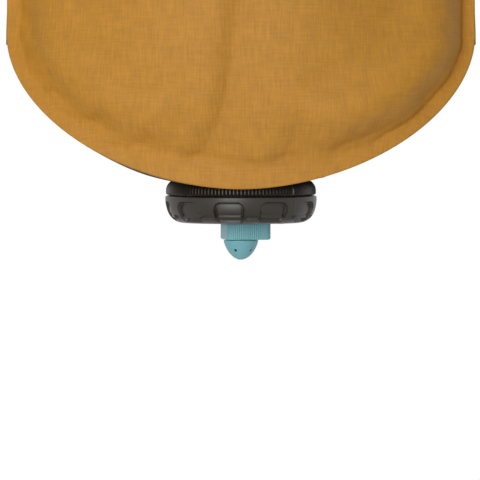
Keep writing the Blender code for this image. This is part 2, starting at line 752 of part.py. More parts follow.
def lash_strap(name, side, parent):
    """Flat webbing up the back of the side weld, tacked at even steps and bowed out between them."""
    x = side * (HALF_WIDTH + STRAP_OVERHANG - STRAP_WIDTH / 2)
    length = STRAP_LOOPS * STRAP_LOOP
    heights = [STRAP_START]
    heights += list(STRAP_START + STRAP_TAIL + np.linspace(0, length, STRAP_LOOPS * LOOP_STEPS + 1))
    heights.append(heights[-1] + STRAP_TAIL)
    sections = []
    for height in heights:
        along = np.clip((height - STRAP_START - STRAP_TAIL) / STRAP_LOOP, 0, STRAP_LOOPS)
        bow = STRAP_BOW * math.sin(math.pi * along) ** 2
        slope = STRAP_BOW * math.pi / STRAP_LOOP * math.sin(2 * math.pi * along)
        across = Vector((0, 1, -slope)).normalized()
        rest = float(seam_depth(height)) + GAP / 2 + FABRIC + GAP + STRAP_THICKNESS / 2
        middle = (x, rest + bow, height)
        sections.append(band_section(middle, (1, 0, 0), across, STRAP_WIDTH, STRAP_THICKNESS))
    piece(name, lofted(sections), "dark_webbing", parent)


def top_height(x):
    """Height of the bag's top edge above a place across it."""
    share = 1 - (abs(x) / HALF_WIDTH) ** TOP_SQUARENESS
    return HIGH_CENTRE + TOP_RISE * share ** (1 / TOP_SQUARENESS)


def top_binding(parent):
    """A tape folded over the top weld, which follows its curve and backs the handle's sewn ends."""
    inner = GAP / 2 + FABRIC + GAP
    outer = inner + BINDING
    sections = []
    for x in np.linspace(-BINDING_HALF_WIDTH, BINDING_HALF_WIDTH, 2 * CURVE_STEPS + 1):
        edge = top_height(x) + GAP
        low = edge - BINDING_DEPTH
        corners = (
            (-outer, low),
            (-inner, low),
            (-inner, edge),
            (inner, edge),
            (inner, low),
            (outer, low),
            (outer, edge + BINDING),
            (-outer, edge + BINDING),
        )
        sections.append([(x, HANG_LINE + y, z) for y, z in corners])
    piece("top_binding", lofted(sections), "dark_webbing", parent)


def handle_end(name, side, parent):
    """The handle's end, sewn flat on the front of the binding."""
    middle = side * HANDLE_SPAN / 2
    half = HANDLE_WIDTH / 2
    low = (middle - half, HINGE_DEPTH - HANDLE_THICKNESS / 2, HINGE_HEIGHT - FOLD_SLOT - SEWN_LENGTH)
    high = (middle + half, HINGE_DEPTH + HANDLE_THICKNESS / 2, HINGE_HEIGHT - FOLD_SLOT)
    piece(name, block(low, high), "dark_webbing", parent)


def rounded_end(side):
    """Sections that round off the free loop about its fold line, thinnest last."""
    radius = HANDLE_THICKNESS / 2
    sections = []
    for turn in np.linspace(0, math.pi / 2, END_STEPS, endpoint=False):
        middle = (side * HANDLE_SPAN / 2, 0, -radius * math.sin(turn))
        thickness = HANDLE_THICKNESS * math.cos(turn)
        sections.append(band_section(middle, (side, 0, 0), (0, -1, 0), HANDLE_WIDTH, thickness))
    return sections


def carry_handle(parent):
    """The free loop: half an ellipse that leaves the sewn ends upright and twists flat at its crown."""
    sections = rounded_end(-1)[::-1]
    for share in np.linspace(0, 1, HANDLE_STEPS + 1):
        turn = math.pi * share
        span = HANDLE_SPAN / 2
        rise = HANDLE_RISE - GAP / 2
        middle = (-span * math.cos(turn), 0, GAP / 2 + rise * math.sin(turn))
        along = Vector((span * math.sin(turn), 0, rise * math.cos(turn))).normalized()
        outward = Vector((-along.z, 0, along.x))
        twist = math.pi / 2 * float(smooth(1 - abs(2 * share - 1)))
        width = outward * math.cos(twist) + Vector((0, 1, 0)) * math.sin(twist)
        thickness = along.cross(width)
        sections.append(band_section(middle, width, thickness, HANDLE_WIDTH, HANDLE_THICKNESS))
    sections += rounded_end(1)
    band = lofted(sections)
    bmesh.ops.poke(band, faces=band.faces)
    piece("carry_handle", band, "dark_webbing", parent)


def main():
    for leftover in list(bpy.data.objects):
        bpy.data.objects.remove(leftover)
    bag_frame = empty("bag_frame", (0, -HINGE_DEPTH, -HANG_HEIGHT))
    closure_axis = empty("closure_axis", (0, 0, 0), bag_frame)
    handle_axis = empty("handle_axis", (0, HINGE_DEPTH, HINGE_HEIGHT), bag_frame)
    panel("front_panel", -1, "ochre_fabric", bag_frame)
    back_panel(bag_frame)
    neck(bag_frame)
    washer_inner = NECK_RADIUS + GAP
    flat_ring(
        "neck_washer",
        washer_inner,
        FLANGE_RADIUS - WASHER_INSET,
        WASHER_LOW,
        WASHER_LOW + WASHER,
        "seal_rubber",
        bag_frame,
        SMALL_STEPS,
    )
    grip_ring(bag_frame)
    gasket_low = CAP_FLOOR_TOP + GAP
    gasket_outer = NECK_RADIUS + THREAD_RISE - THREAD_CLEARANCE
    flat_ring(
        "cap_gasket",
        NECK_BORE,
        gasket_outer,
        gasket_low,
        gasket_low + GASKET,
        "seal_rubber",
        closure_axis,
    )
    screw_cap(closure_axis)
    valve_sleeve(closure_axis)
    valve_stem(closure_axis)
    stem_seal("lower_stem_seal", PORT_CENTRE - SEAL_OFFSET, closure_axis)
    stem_seal("upper_stem_seal", PORT_CENTRE + SEAL_OFFSET, closure_axis)
    retaining_clip(closure_axis)
    valve_knob(closure_axis)
    spray_rose(closure_axis)
    lash_strap("left_lash_strap", -1, bag_frame)
    lash_strap("right_lash_strap", 1, bag_frame)
    top_binding(bag_frame)
    handle_end("handle_end_left", -1, bag_frame)
    handle_end("handle_end_right", 1, bag_frame)
    carry_handle(handle_axis)


main()
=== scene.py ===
"""The looks of a soft water bag that hangs full from its handle, with a screw cap and a turning valve.

Metres, +Z up, the front towards -Y. Shapes are worked out on the cap's axis, with heights from the
cap's rim, and SHIFT then sets them into the frame's own place.
"""

import math

import bmesh
import bpy
import numpy as np
from bpy.props import FloatProperty, FloatVectorProperty, IntProperty, PointerProperty
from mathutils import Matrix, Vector


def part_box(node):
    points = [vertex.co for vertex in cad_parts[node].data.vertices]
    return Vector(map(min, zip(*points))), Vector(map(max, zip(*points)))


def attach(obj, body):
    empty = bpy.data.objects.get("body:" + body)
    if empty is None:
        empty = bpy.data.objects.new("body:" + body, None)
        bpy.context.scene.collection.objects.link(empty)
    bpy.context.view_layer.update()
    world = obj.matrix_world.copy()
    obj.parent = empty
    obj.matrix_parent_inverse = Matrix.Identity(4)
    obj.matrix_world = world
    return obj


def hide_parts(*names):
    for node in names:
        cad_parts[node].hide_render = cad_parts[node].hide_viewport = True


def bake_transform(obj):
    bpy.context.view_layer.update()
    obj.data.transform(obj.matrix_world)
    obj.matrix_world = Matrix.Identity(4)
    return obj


bl_info = {
    "name": "Hanging water bag",
    "version": (1, 0, 0),
    "blender": (4, 5, 0),
    "location": "View3D > Sidebar > Water bag",
    "description": (
        "Dresses the frame of a soft water bag in coated fabric, webbing and moulded plastic"
    ),
    "category": "Object",
}

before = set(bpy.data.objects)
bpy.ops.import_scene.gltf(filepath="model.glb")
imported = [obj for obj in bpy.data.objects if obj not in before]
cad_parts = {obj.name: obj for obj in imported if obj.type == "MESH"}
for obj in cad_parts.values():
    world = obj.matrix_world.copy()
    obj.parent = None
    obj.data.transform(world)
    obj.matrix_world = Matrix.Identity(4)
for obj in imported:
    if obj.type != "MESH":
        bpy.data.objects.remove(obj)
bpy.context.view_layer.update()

MM = 0.001

# Clearances that the frame keeps
GAP = 0.0003
RIM_GAP = 0.0004

# A direction that nothing round runs along
OFF_EVERY_AXIS = (0.3, 0.2, 0.93)


def node_box(name):
    """Lowest and highest corner of a piece of the frame, as arrays."""
    low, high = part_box(name)
    return np.array(low), np.array(high)


# Where the closure's axis and the cap's rim are in the frame
RING_BOX = node_box("grip_ring")
SHIFT = np.array([*(RING_BOX[0] + RING_BOX[1])[:2] / 2, RING_BOX[0][2] - RIM_GAP])


def sized(name):
    """A node's two corners, measured from the cap's rim on its axis."""
    low, high = node_box(name)
    return low - SHIFT, high - SHIFT


FRONT_LOW, FRONT_HIGH = sized("front_panel")
BACK_HIGH = sized("back_panel")[1]
CAP_LOW, CAP_TOP = sized("screw_cap")
NECK_LOW, NECK_TOP = sized("neck")
KNOB_FOOT = sized("valve_knob")[0]
ROSE_FOOT, ROSE_HEAD = sized("spray_rose")
STRAP_LOW, STRAP_HIGH = sized("right_lash_strap")
BINDING_HIGH = sized("top_binding")[1]
END_LOW, END_HIGH = sized("handle_end_right")
LOOP_HIGH = sized("carry_handle")[1]

# Bag
FABRIC = 0.001
HALF_WIDTH = FRONT_HIGH[0]
BOTTOM_EDGE = FRONT_LOW[2]
TOP_EDGE = FRONT_HIGH[2]
FRONT_DEPTH = -FRONT_LOW[1] - FABRIC
BACK_DEPTH = BACK_HIGH[1] - FABRIC
BOTTOM_RISE = 0.080
BOTTOM_SQUARENESS = 1.86
TOP_RISE = 0.070
LOW_CENTRE = BOTTOM_EDGE + BOTTOM_RISE
HIGH_CENTRE = TOP_EDGE - TOP_RISE
TOP_SQUARENESS = 2.6
TOP_FULLNESS = 0.42
TOP_TAPER = 1.5
WELD_WIDTH = 0.007
TOP_WELD_WIDTH = 0.026
SEAM_SWEEP = 0.146
SEAM_CURVE = 2.2
SEAM_CLEARANCE = 0.0018
HANG_LINE = 0.003
LENS_CURVE = 2.2
BOX_CURVE_ALONG = 5.0
BOX_CURVE_ACROSS = 5.5
FLAT_MARGIN = 0.0015
FLAT_FADE = 0.024
CORNER_START = 0.62
CORNER_END = 0.90
CLOTH_WIDTH = 2 * HALF_WIDTH + 0.036
FRONT_CLOTH_LENGTH = TOP_EDGE - BOTTOM_EDGE + 0.045
BACK_CLOTH_LENGTH = 0.48
LARGEST_CUT = 0.99
HOLE_REACH = 0.004
HOLE_STEPS = 160

# How finely the panels are drawn: steps round the bottom, up a side and over the top, and rows inwards
PANEL_STEPS = (300, 46, 120)
PANEL_ROWS = 78
WELD_ROWS = 6
PROFILE_STEPS = 200
ROW_CROWDING = 1.2

# Form of the filled cloth. Where two lengths are given, here and below, they are the start of a step
# and how far on from it the step is complete
FOLD_STEPS = 60
FOLD_ENDS = (0.10, 0.92)
LEE_SIDE = (0.94, -0.34)
FOLD_REACH = 9 * MM
FORM_REACH = 30 * MM
PUCKER_WAVES = (13 * MM, 19 * MM, 29 * MM, 43 * MM)
PUCKER_MAIN_WAVE = 29 * MM
SWELL_WAVES = (46 * MM, 58 * MM, 74 * MM, 95 * MM, 130 * MM, 170 * MM)
SWELL_MAIN_WAVE = 90 * MM
LEAN_REACH = 26 * MM
EVENING_REACH = 17 * MM
EVENING_HEIGHT = 46 * MM
EVENING_START = 12 * MM
NECK_CALM_REACH = 14 * MM
WELD_SLIP = 0.9 * MM
WELD_SLIP_X = -51 * MM
WELD_SLIP_REACH = 18 * MM
SHOULDER_SIDES = (30 * MM, 50 * MM)
SHOULDER_RIGHT_X = 60 * MM
SHOULDER_RIGHT_TOP = (95 * MM, 70 * MM)
SHOULDER_RIGHT_GAIN = 1.2
SHOULDER_RIGHT_REACH = 5 * MM
SHOULDER_BACK_START = (40 * MM, 60 * MM)
SHOULDER_FOOT = 7 * MM
SHOULDER_CREST = 27 * MM
SHOULDER_REACH = 15 * MM
SCALLOPS = 17
FLAT_START = 1.2 * MM
LONG_RAMP = 14 * MM
LONG_RAMP_X = 82 * MM
LONG_RAMP_REACH = 34 * MM
LONG_RAMP_TOP = (50 * MM, 40 * MM)
SOFT_FOOT = 14 * MM
SOFT_FOOT_X = 32 * MM
SOFT_FOOT_TOP = (20 * MM, 60 * MM)
BACK_BOX_TOP = (60 * MM, 50 * MM)

# The painted sheen along the cloth's middle falls off with the square of a place's x in metres, times
# this
SHEEN_NARROWNESS = 75

# Collar, neck and cap
RING_RADIUS = RING_BOX[1][0] - SHIFT[0]
RING_HIGH = RING_BOX[1][2] - SHIFT[2]
RING_ROUND = 0.006
RING_LINE_WIDTH = 0.0007
# The collar's bevelled lower edge: how far in and how far up, point by point
RING_LOW_EDGE = ((0.0012, 0), (0.0009, 0), (0.0001, 0.0006), (0, 0.0008))
STEPS_A_RIB = 10
RIB_INNER_END = 0.0048
RIB_TOP_FADE = 0.0040
RIB_FOOT_FADE = 0.0005
UNDERSIDE = RING_HIGH + GAP
SEAM_FRONT = -(RING_RADIUS + SEAM_CLEARANCE + FABRIC + GAP / 2)
FLAT_RADIUS = RING_RADIUS + FLAT_MARGIN
NECK_BORE = 0.026
NECK_RADIUS = 0.0295
NECK_BELOW_RIM = -NECK_LOW[2]
NECK_EDGE = 0.0004
NECK_STEPS = 360
FLANGE_RADIUS = NECK_TOP[0]
FLANGE = 0.002
THREAD_LEAD = 0.005
THREAD_RISE = 0.0015
THREAD_ROOT = 0.0021
THREAD_CREST = 0.0013
THREAD_RUN_OUT = 0.03
NECK_THREAD_START = 0.0018
NECK_THREAD_TURNS = 1.2
CAP_THREAD_TURNS = 1.03
CAP_RADIUS = CAP_TOP[0]
CAP_HEIGHT = -CAP_LOW[2]
CAP_BORE = NECK_RADIUS + THREAD_RISE + 0.0007
CAP_FLAT_RADIUS = 0.028
CAP_CURVE_DOWN = 2.5
CAP_CURVE_OUT = 0.357
CAP_FLOOR_TOP = 0.003 - CAP_HEIGHT
CAP_CHAMFER = 0.001
CAP_RIM_ROUND = 0.0006
CAP_FLOOR_RINGS = (0.024, 0.0205, 0.016)
CAP_LINE_WIDTH = 0.00035
CAP_LINE_HEIGHT = 0.00012
CAP_SIDE_FINENESS = 200
CAP_SIDE_ROWS = 60
CAP_WALL_ROWS = 24
BOSS_TOP = CAP_TOP[2]
STEM_HOLE = 0.0078
BOSS_BORE = 0.0103
BOSS_RADIUS = 0.0128
SCALLOP_COUNT = 10
SCALLOP_PHASE = math.radians(-9.4)
SCALLOP_WIDTH = 0.0168
SCALLOP_TOP = -0.0029
SCALLOP_LOW = -0.0136
SCALLOP_DEPTH = 0.0017
SCALLOP_LOW_CORNER = 0.0026
SCALLOP_WALL = 0.0004
GROOVE_INSET = 0.0009
GROOVE_WIDTH = 0.0005
GROOVE_LOW_END = (-0.0125, 0.0035)
GROOVE_ARCH = (-0.0055, 0.0015)
FLOOR_FADE = 0.0008
FLOOR_TILT = 0.00055
FLOOR_MIDDLE = -0.0065
FLOOR_TILT_REACH = 0.0035
FLOOR_DIP = 0.00045
FLOOR_DIP_HEIGHT = -0.0102
FLOOR_LEDGE = 0.0004
FLOOR_LEDGE_HEIGHT = -0.0117
FLOOR_LINE_WIDTH = 0.0006
SLOT_WIDTH = 0.007
SLOT_LOW = -0.0121
SLOT_TOP = -0.0099
SLOT_CORNER = 0.0008
SLOT_DEPTH = 0.0009
SLOT_WALL = 0.0005
MOULD_LINES = tuple(math.radians(angle) for angle in (-45.3, 134.7))

# Valve
VALVE_REST = math.radians(14)
VALVE_TRAVEL = math.radians(90)
STOP_REACH = math.radians(11)
STOP_INNER, STOP_OUTER = 0.0088, 0.0112
STOP_DEPTH = 0.0014
GROOVE_STEP = 0.00005
GROOVE_END_SLOPE = 0.02
LUG_TURN = math.radians(8)
LUG_INNER, LUG_OUTER = 0.0091, 0.0109
LUG_ROOT = 0.0004
KNOB_SHORT_END = 0.0093
KNOB_LONG_END = 0.0143
KNOB_WIDTH = 0.0196
KNOB_CORNER = 0.0030
KNOB_CORNER_STEPS = 24
KNOB_STEPS = 560
KNOB_LIP = 0.0003
KNOB_EDGE = 0.0011
KNOB_TOP = -CAP_HEIGHT - GAP
KNOB_LOW = KNOB_FOOT[2]
KNOB_SIDE = (KNOB_TOP - 0.0012, KNOB_LOW + KNOB_EDGE + 0.0003)
KNOB_SIDE_RINGS = 9
KNOB_SEAT = KNOB_TOP - 0.0053
RIBBED_FACE = (0.62, 0.20)
# The knob's upper edge: how far down, how far in and how much of the ribs, ring by ring
KNOB_TOP_EDGE = ((0.0, 0.0004, 0.0), (0.00012, 0.00012, 0.3), (0.0004, 0.0, 1.0))
STEM_BORE = 0.0045
ROSE_RADIUS = ROSE_HEAD[0]
ROSE_LOW = ROSE_FOOT[2]
ROSE_TOP = KNOB_LOW - GAP
ROSE_CURVE = 1.4
ROSE_WALL = 0.0016
ROSE_LIP = 0.00035
ROSE_STEPS = 144
SPIGOT_RADIUS = 0.0059
SPIGOT_TOP = ROSE_HEAD[2]
JET_RADIUS = 0.0007
JET_START = 0.001
SIDE_JETS = 5
SIDE_JET_PHASE = math.radians(-24 - 90)
SIDE_JET_HEIGHT = 0.50
MOUTH_DEPTH = 0.0004
MOUTH_REACH = 0.002
MOUTH_DROP = (0.0002, 0.0012)
MOUTH_WIDENING = 1.45
TIP_JETS = 3
TIP_JET_OFFSET = 0.0022
TIP_JET_START = -0.001

# Webbing
STRAP_WIDTH = STRAP_HIGH[0] - STRAP_LOW[0]
STRAP_MIDDLE = (STRAP_HIGH[0] + STRAP_LOW[0]) / 2
STRAP_THICKNESS = 0.0012
STRAP_LOOPS = 4
STRAP_TAIL = 0.004
STRAP_LOOP = (STRAP_HIGH[2] - STRAP_LOW[2] - 2 * STRAP_TAIL) / STRAP_LOOPS
STRAP_BOW = 0.0085
STRAP_STEPS = 220
TACK_STEP = 0.00042
TACK_SLANT = 0.05
TACK_LENGTH = 0.0056
TACK_RADIUS = 0.00027
TAPE_END = 0.0006
# How a tape closes at its end: the section's size and how far out it stands, ring by ring
TAPE_END_ROUNDING = ((0.985, 0.55), (0.94, 0.9), (0.0, 1.0))
STITCH_STEPS = 6
STITCH_RADIUS = 0.00028
STITCH_SHARE = 0.72
BINDING = 0.001
BINDING_DEPTH = 0.019
BINDING_HALF_WIDTH = BINDING_HIGH[0]
BINDING_EDGE = 0.0004
BINDING_FOLD = 0.0012
BINDING_STEPS = 260
BINDING_ROWS = (0.0022, 0.0162)
BINDING_RIPPLE = 0.0001
RIPPLE_LENGTH = 0.0071
RIPPLE_SLANT = 260
STITCH_DRAW = 0.00016
STITCH_DRAW_WIDTH = 0.0009
BINDING_END_CLEAR = 0.004
BINDING_STITCH_SINK = 0.0001
HANDLE_WIDTH = END_HIGH[0] - END_LOW[0]
HANDLE_THICKNESS = END_HIGH[1] - END_LOW[1]
HANDLE_SPAN = END_HIGH[0] + END_LOW[0]
HINGE_DEPTH = (END_HIGH[1] + END_LOW[1]) / 2
FOLD_SLOT = 0.0016
HINGE_HEIGHT = END_HIGH[2] + FOLD_SLOT
HANDLE_RISE = LOOP_HIGH[2] - HINGE_HEIGHT - HANDLE_THICKNESS / 2
HINGE_RUN = 0.004
HANDLE_STEPS = 240
HANDLE_CLEAR = 0.0006
CROWN_CROWDING = 0.11
BOX_DROP = 0.0004
BOX_INSET = (0.0022, 0.0024)
BOX_STITCH_SINK = 0.00006
BOX_STITCH_SHARE = 0.74
BOX_STITCH_RADIUS = 0.0003

# Stage: each lamp's name, azimuth and elevation in degrees, distance, and share of the key's power
LAMPS = (("key", -15, 5, 1.9, 1.0), ("back", 172, 38, 1.8, 0.7))
LAMP_SIZE = 0.9
LAMP_AIM = 0.12
FLOOR_STEPS = 96
SIGHT_HEIGHT = -0.006
SHOWN_RAYS = ("Is Camera Ray", "Is Glossy Ray", "Is Transmission Ray")

# Folds of the full front: half width and depth in mm, then the places that each valley passes, as x and
# height in mm from the cap's rim
FRONT_FOLDS = (
    (7.5, 4.4, (
        (-30, 10), (-21, 20), (-12, 34), (-6.5, 50), (-4.5, 66), (-2, 84), (2, 112), (6, 145), (8, 180),
    )),
    (6.0, 2.2, ((-88, 34), (-79, 37), (-69, 42), (-58, 50))),
    (5.5, 2.3, ((-58, 20), (-51, 27), (-45, 36))),
    (5.0, 1.6, ((-42, 16), (-36, 23), (-32, 34))),
    (5.0, 1.5, ((-33, 11.5), (-27, 14), (-20, 21))),
    (6.0, 1.6, ((-113, 72), (-102, 57), (-89, 45), (-76, 36))),
    (5.0, 1.5, ((-115, 95), (-108, 86), (-101, 80))),
    (6.5, 2.3, ((7, 9), (16, 12), (24, 19), (29, 28), (33, 40), (37, 56))),
    (6.0, 2.6, ((41, 15), (49, 20), (56, 28), (61, 40))),
    (8.0, 2.0, ((60, 17), (66, 28), (72, 41), (78, 54))),
    (6.0, 2.0, ((100, 50), (94, 56), (84, 62))),
    (7.0, 1.6, ((-60, 270), (-38, 240), (-26, 205), (-22, 165))),
    (7.0, 1.8, ((58, 276), (40, 248), (30, 214), (27, 176))),
    (6.0, 1.3, ((2, 300), (4, 276), (3, 250))),
    (5.0, 1.2, ((-114, 190), (-98, 184), (-80, 172))),
    (5.0, 1.1, ((114, 160), (99, 152), (84, 138))),
    (5.0, 1.2, ((113, 236), (98, 226), (80, 208))),
    (5.0, 1.1, ((-113, 252), (-100, 240), (-84, 226))),
)
BACK_FOLDS = (
    (6.0, 1.9, ((-34, 30), (-30, 60), (-20, 100), (-16, 140))),
    (6.0, 1.7, ((30, 26), (33, 52), (26, 92), (12, 132))),
    (5.0, 1.5, ((-72, 34), (-66, 58), (-52, 86))),
    (5.0, 1.5, ((74, 40), (64, 66), (50, 88))),
    (5.0, 1.3, ((-112, 84), (-96, 90), (-80, 104))),
    (5.0, 1.3, ((112, 92), (98, 96), (82, 108))),
    (7.0, 1.8, ((-56, 276), (-36, 246), (-30, 206))),
    (7.0, 1.6, ((60, 272), (42, 238), (38, 200))),
    (5.0, 1.2, ((-114, 210), (-98, 202), (-82, 188))),
    (5.0, 1.2, ((114, 186), (98, 182), (80, 168))),
    (6.0, 1.2, ((0, 296), (-3, 268), (2, 240))),
)


def smooth(value):
    """A soft step from 0 at 0 to 1 at 1."""
    value = np.clip(value, 0.0, 1.0)
    return value * value * (3 - 2 * value)


def rising(value, start, reach):
    """A soft step from 0 at the start to 1 a reach further on."""
    return smooth((value - start) / reach)


def bell(value, width):
    """A rounded bump, 1 in the middle, that has fallen to a third at the width."""
    return np.exp(-((value / width) ** 2))


def curve_through(points, count):
    """A smooth line through a few places: a Catmull-Rom curve, spaced evenly in its own parameter."""
    places = np.asarray(points, float)
    places = np.vstack([2 * places[0] - places[1], places, 2 * places[-1] - places[-2]])
    spans = len(places) - 3
    at = np.linspace(0, spans, count)
    first = np.minimum(at.astype(int), spans - 1)
    t = (at - first)[:, None]
    a, b, c, d = (places[first + k] for k in range(4))
    bend = 2 * b + (c - a) * t + (2 * a - 5 * b + 4 * c - d) * t**2 + (3 * b - a - 3 * c + d) * t**3
    return bend / 2


def run_along(line):
    """How far along a line each of its points is."""
    return np.concatenate([[0], np.cumsum(np.linalg.norm(np.diff(line, axis=0), axis=1))])


def evenly(line, wanted):
    """The places on a line at the wanted distances along it."""
    run = run_along(line)
    return np.stack([np.interp(wanted, run, column) for column in line.T], axis=1)


def quads_of(rows, columns, close_rows=False, close_columns=False):
    """The corner numbers of a grid's faces."""
    index = np.arange(rows * columns).reshape(rows, columns)
    if close_rows:
        index = np.vstack([index, index[:1]])
    if close_columns:
        index = np.hstack([index, index[:, :1]])
    faces = [index[:-1, :-1], index[1:, :-1], index[1:, 1:], index[:-1, 1:]]
    return np.stack(faces, axis=-1).reshape(-1, 4)


def surface(points, close_rows=False, close_columns=False, cloth=None):
    """A mesh from a grid of points. cloth gives each corner its place on the flat fabric, in metres."""
    rows, columns = points.shape[:2]
    faces = quads_of(rows, columns, close_rows, close_columns)
    mesh = bpy.data.meshes.new("surface")
    mesh.from_pydata((points + SHIFT).reshape(-1, 3).tolist(), [], faces.tolist())
    if cloth is not None:
        corners = [cloth[:-1, :-1], cloth[1:, :-1], cloth[1:, 1:], cloth[:-1, 1:]]
        layer = mesh.uv_layers.new(name="cloth")
        layer.data.foreach_set("uv", np.stack(corners, axis=2).reshape(-1).astype(np.float32))
    return mesh


def cleaned(mesh, turn_out=True, merge=1e-6):
    """The mesh with what coincides merged, so that seams and poles close, and its faces turned out."""
    work = bmesh.new()
    work.from_mesh(mesh)
    bmesh.ops.remove_doubles(work, verts=work.verts, dist=merge)
    if turn_out:
        bmesh.ops.recalc_face_normals(work, faces=work.faces)
    work.to_mesh(mesh)
    work.free()
    return mesh


def placed(name, mesh, material, sharp=35):
    """An object at the origin with its material, shaded smooth but for its sharp edges."""
    mesh.name = name
    mesh.materials.clear()
    mesh.materials.append(material)
    mesh.shade_smooth()
    if sharp:
        mesh.set_sharp_from_angle(angle=math.radians(sharp))
    made = bpy.data.objects.new(name, mesh)
    bpy.context.scene.collection.objects.link(made)
    return made


def evaluated(target):
    """The object's mesh with its modifiers worked in, which are then removed."""
    graph = bpy.context.evaluated_depsgraph_get()
    graph.update()
    mesh = bpy.data.meshes.new_from_object(target.evaluated_get(graph))
    target.modifiers.clear()
    old = target.data
    target.data = mesh
    mesh.name = target.name
    bpy.data.meshes.remove(old)
    return target


def combined(target, tools, operation):
    """The target joined with the tools, or cut by them; the tools are then removed."""
    for tool in tools:
        modifier = target.modifiers.new(tool.name, "BOOLEAN")
        modifier.operation = operation
        modifier.solver = "EXACT"
        modifier.object = tool
    evaluated(target)
    for tool in tools:
        mesh = tool.data
        bpy.data.objects.remove(tool)
        bpy.data.meshes.remove(mesh)
    return target


def helper(mesh):
    """A plain object for a cut or a union."""
    made = bpy.data.objects.new("helper", mesh)
    bpy.context.scene.collection.objects.link(made)
    return made


def between(start, end, count):
    """A straight run of points that leaves out its last one."""
    share = np.linspace(0, 1, count, endpoint=False)[:, None]
    return np.asarray(start, float) + (np.asarray(end, float) - np.asarray(start, float)) * share


def runs(places, counts):
    """Straight runs from each place to the next, with the number of points for each of them."""
    parts = [between(*run) for run in zip(places[:-1], places[1:], counts, strict=True)]
    return np.vstack(parts)


def corner(middle, radius, start, end, count):
    """An arc of points about a middle, with its angles in degrees, that leaves out its last one."""
    angle = np.radians(np.linspace(start, end, count, endpoint=False))
    return np.stack([middle[0] + radius * np.cos(angle), middle[1] + radius * np.sin(angle)], axis=1)


class Wire:
    """One output of a shader graph, on which sums are written as plain expressions."""

    def __init__(self, graph, socket):
        self.graph = graph
        self.socket = socket

    def maths(self, operation, *others):
        """Any operation of the maths node on this output and the others."""
        values = dict(enumerate((self, *others)))
        return self.graph.node("ShaderNodeMath", {"operation": operation}, values)

    def __add__(self, other):
        return self.maths("ADD", other)

    def __mul__(self, other):
        return self.maths("MULTIPLY", other)

    def __sub__(self, other):
        return self.maths("SUBTRACT", other)

    def __truediv__(self, other):
        return self.maths("DIVIDE", other)

    def __pow__(self, other):
        return self.maths("POWER", other)

    def __rsub__(self, other):
        return self.graph.node("ShaderNodeMath", {"operation": "SUBTRACT"}, {0: other, 1: self})

    __radd__ = __add__
    __rmul__ = __mul__

    def step(self, low, high):
        """0 below low, 1 above high, and a soft step between."""
        settings = {"interpolation_type": "SMOOTHSTEP"}
        values = {"Value": self, "From Min": low, "From Max": high}
        return self.graph.node("ShaderNodeMapRange", settings, values)


class Graph:
    """A material's nodes, with one Principled shader that the caller feeds."""

    def __init__(self, name, roughness, metallic=0.0, specular=0.5):
        self.material = bpy.data.materials.new(name)
        self.material.use_nodes = True
        self.tree = self.material.node_tree
        self.shader = self.tree.nodes["Principled BSDF"]
        self.shader.inputs["Roughness"].default_value = roughness
        self.shader.inputs["Metallic"].default_value = metallic
        self.shader.inputs["Specular IOR Level"].default_value = specular

    def node(self, kind, settings=None, values=None, output=0):
        """Any node: its settings first, then the values or links of its sockets."""
        made = self.tree.nodes.new(kind)
        for name, value in (settings or {}).items():
            setattr(made, name, value)
        for name, value in (values or {}).items():
            if isinstance(value, Wire):
                self.tree.links.new(value.socket, made.inputs[name])
            else:
                made.inputs[name].default_value = value
        return Wire(self, made.outputs[output])

    def places(self):
        """Where a point is on its object, in metres."""
        return self.node("ShaderNodeTexCoord", output=3)

    def split(self, vector):
        """A vector's three numbers."""
        first = self.node("ShaderNodeSeparateXYZ", values={0: vector})
        outputs = first.socket.node.outputs
        return tuple(Wire(self, socket) for socket in outputs)

    def cloth(self):
        """Where a point is on the flat fabric, in metres: across and along."""
        return self.split(self.node("ShaderNodeUVMap", {"uv_map": "cloth"}))[:2]

    def vector(self, x, y, z=0.0):
        """A vector from three numbers."""
        return self.node("ShaderNodeCombineXYZ", values={0: x, 1: y, 2: z})

    def noise(self, place, scale, detail=2.0, roughness=0.5):
        """Soft noise from 0 to 1 with features of about 1 / scale metres."""
        values = {"Vector": place, "Scale": scale, "Detail": detail, "Roughness": roughness}
        return self.node("ShaderNodeTexNoise", values=values)

    def tinted(self, colour, tone):
        """The colour made lighter or darker by a number round 1."""
        values = {0: colour if isinstance(colour, Wire) else (*colour,), "Scale": tone}
        return self.node("ShaderNodeVectorMath", {"operation": "SCALE"}, values)

    def mixed(self, share, low, high):
        """One colour at share 0 and another at share 1."""
        values = {0: share, 6: (*low, 1), 7: (*high, 1)}
        return self.node("ShaderNodeMix", {"data_type": "RGBA"}, values, output=2)

    def feed(self, name, value):
        """Sends a value to one of the shader's inputs."""
        self.tree.links.new(value.socket, self.shader.inputs[name])

    def bump(self, height, distance, strength=1.0):
        """Lets a height ripple the surface as if it rose by the distance in metres."""
        values = {"Height": height, "Distance": distance, "Strength": strength}
        self.feed("Normal", self.node("ShaderNodeBump", values=values))


def woven(across, along, pitch):
    """The height of a plain weave, 0 to 1: each thread is an arch that dives under every second
    crossing."""
    turn = math.pi / pitch
    warp = across * turn
    weft = along * turn
    over = (warp.maths("COSINE") * weft.maths("COSINE")).step(-0.25, 0.25)
    warp_arch = warp.maths("SINE").maths("ABSOLUTE")
    weft_arch = weft.maths("SINE").maths("ABSOLUTE")
    return over * warp_arch + (1 - over) * weft_arch


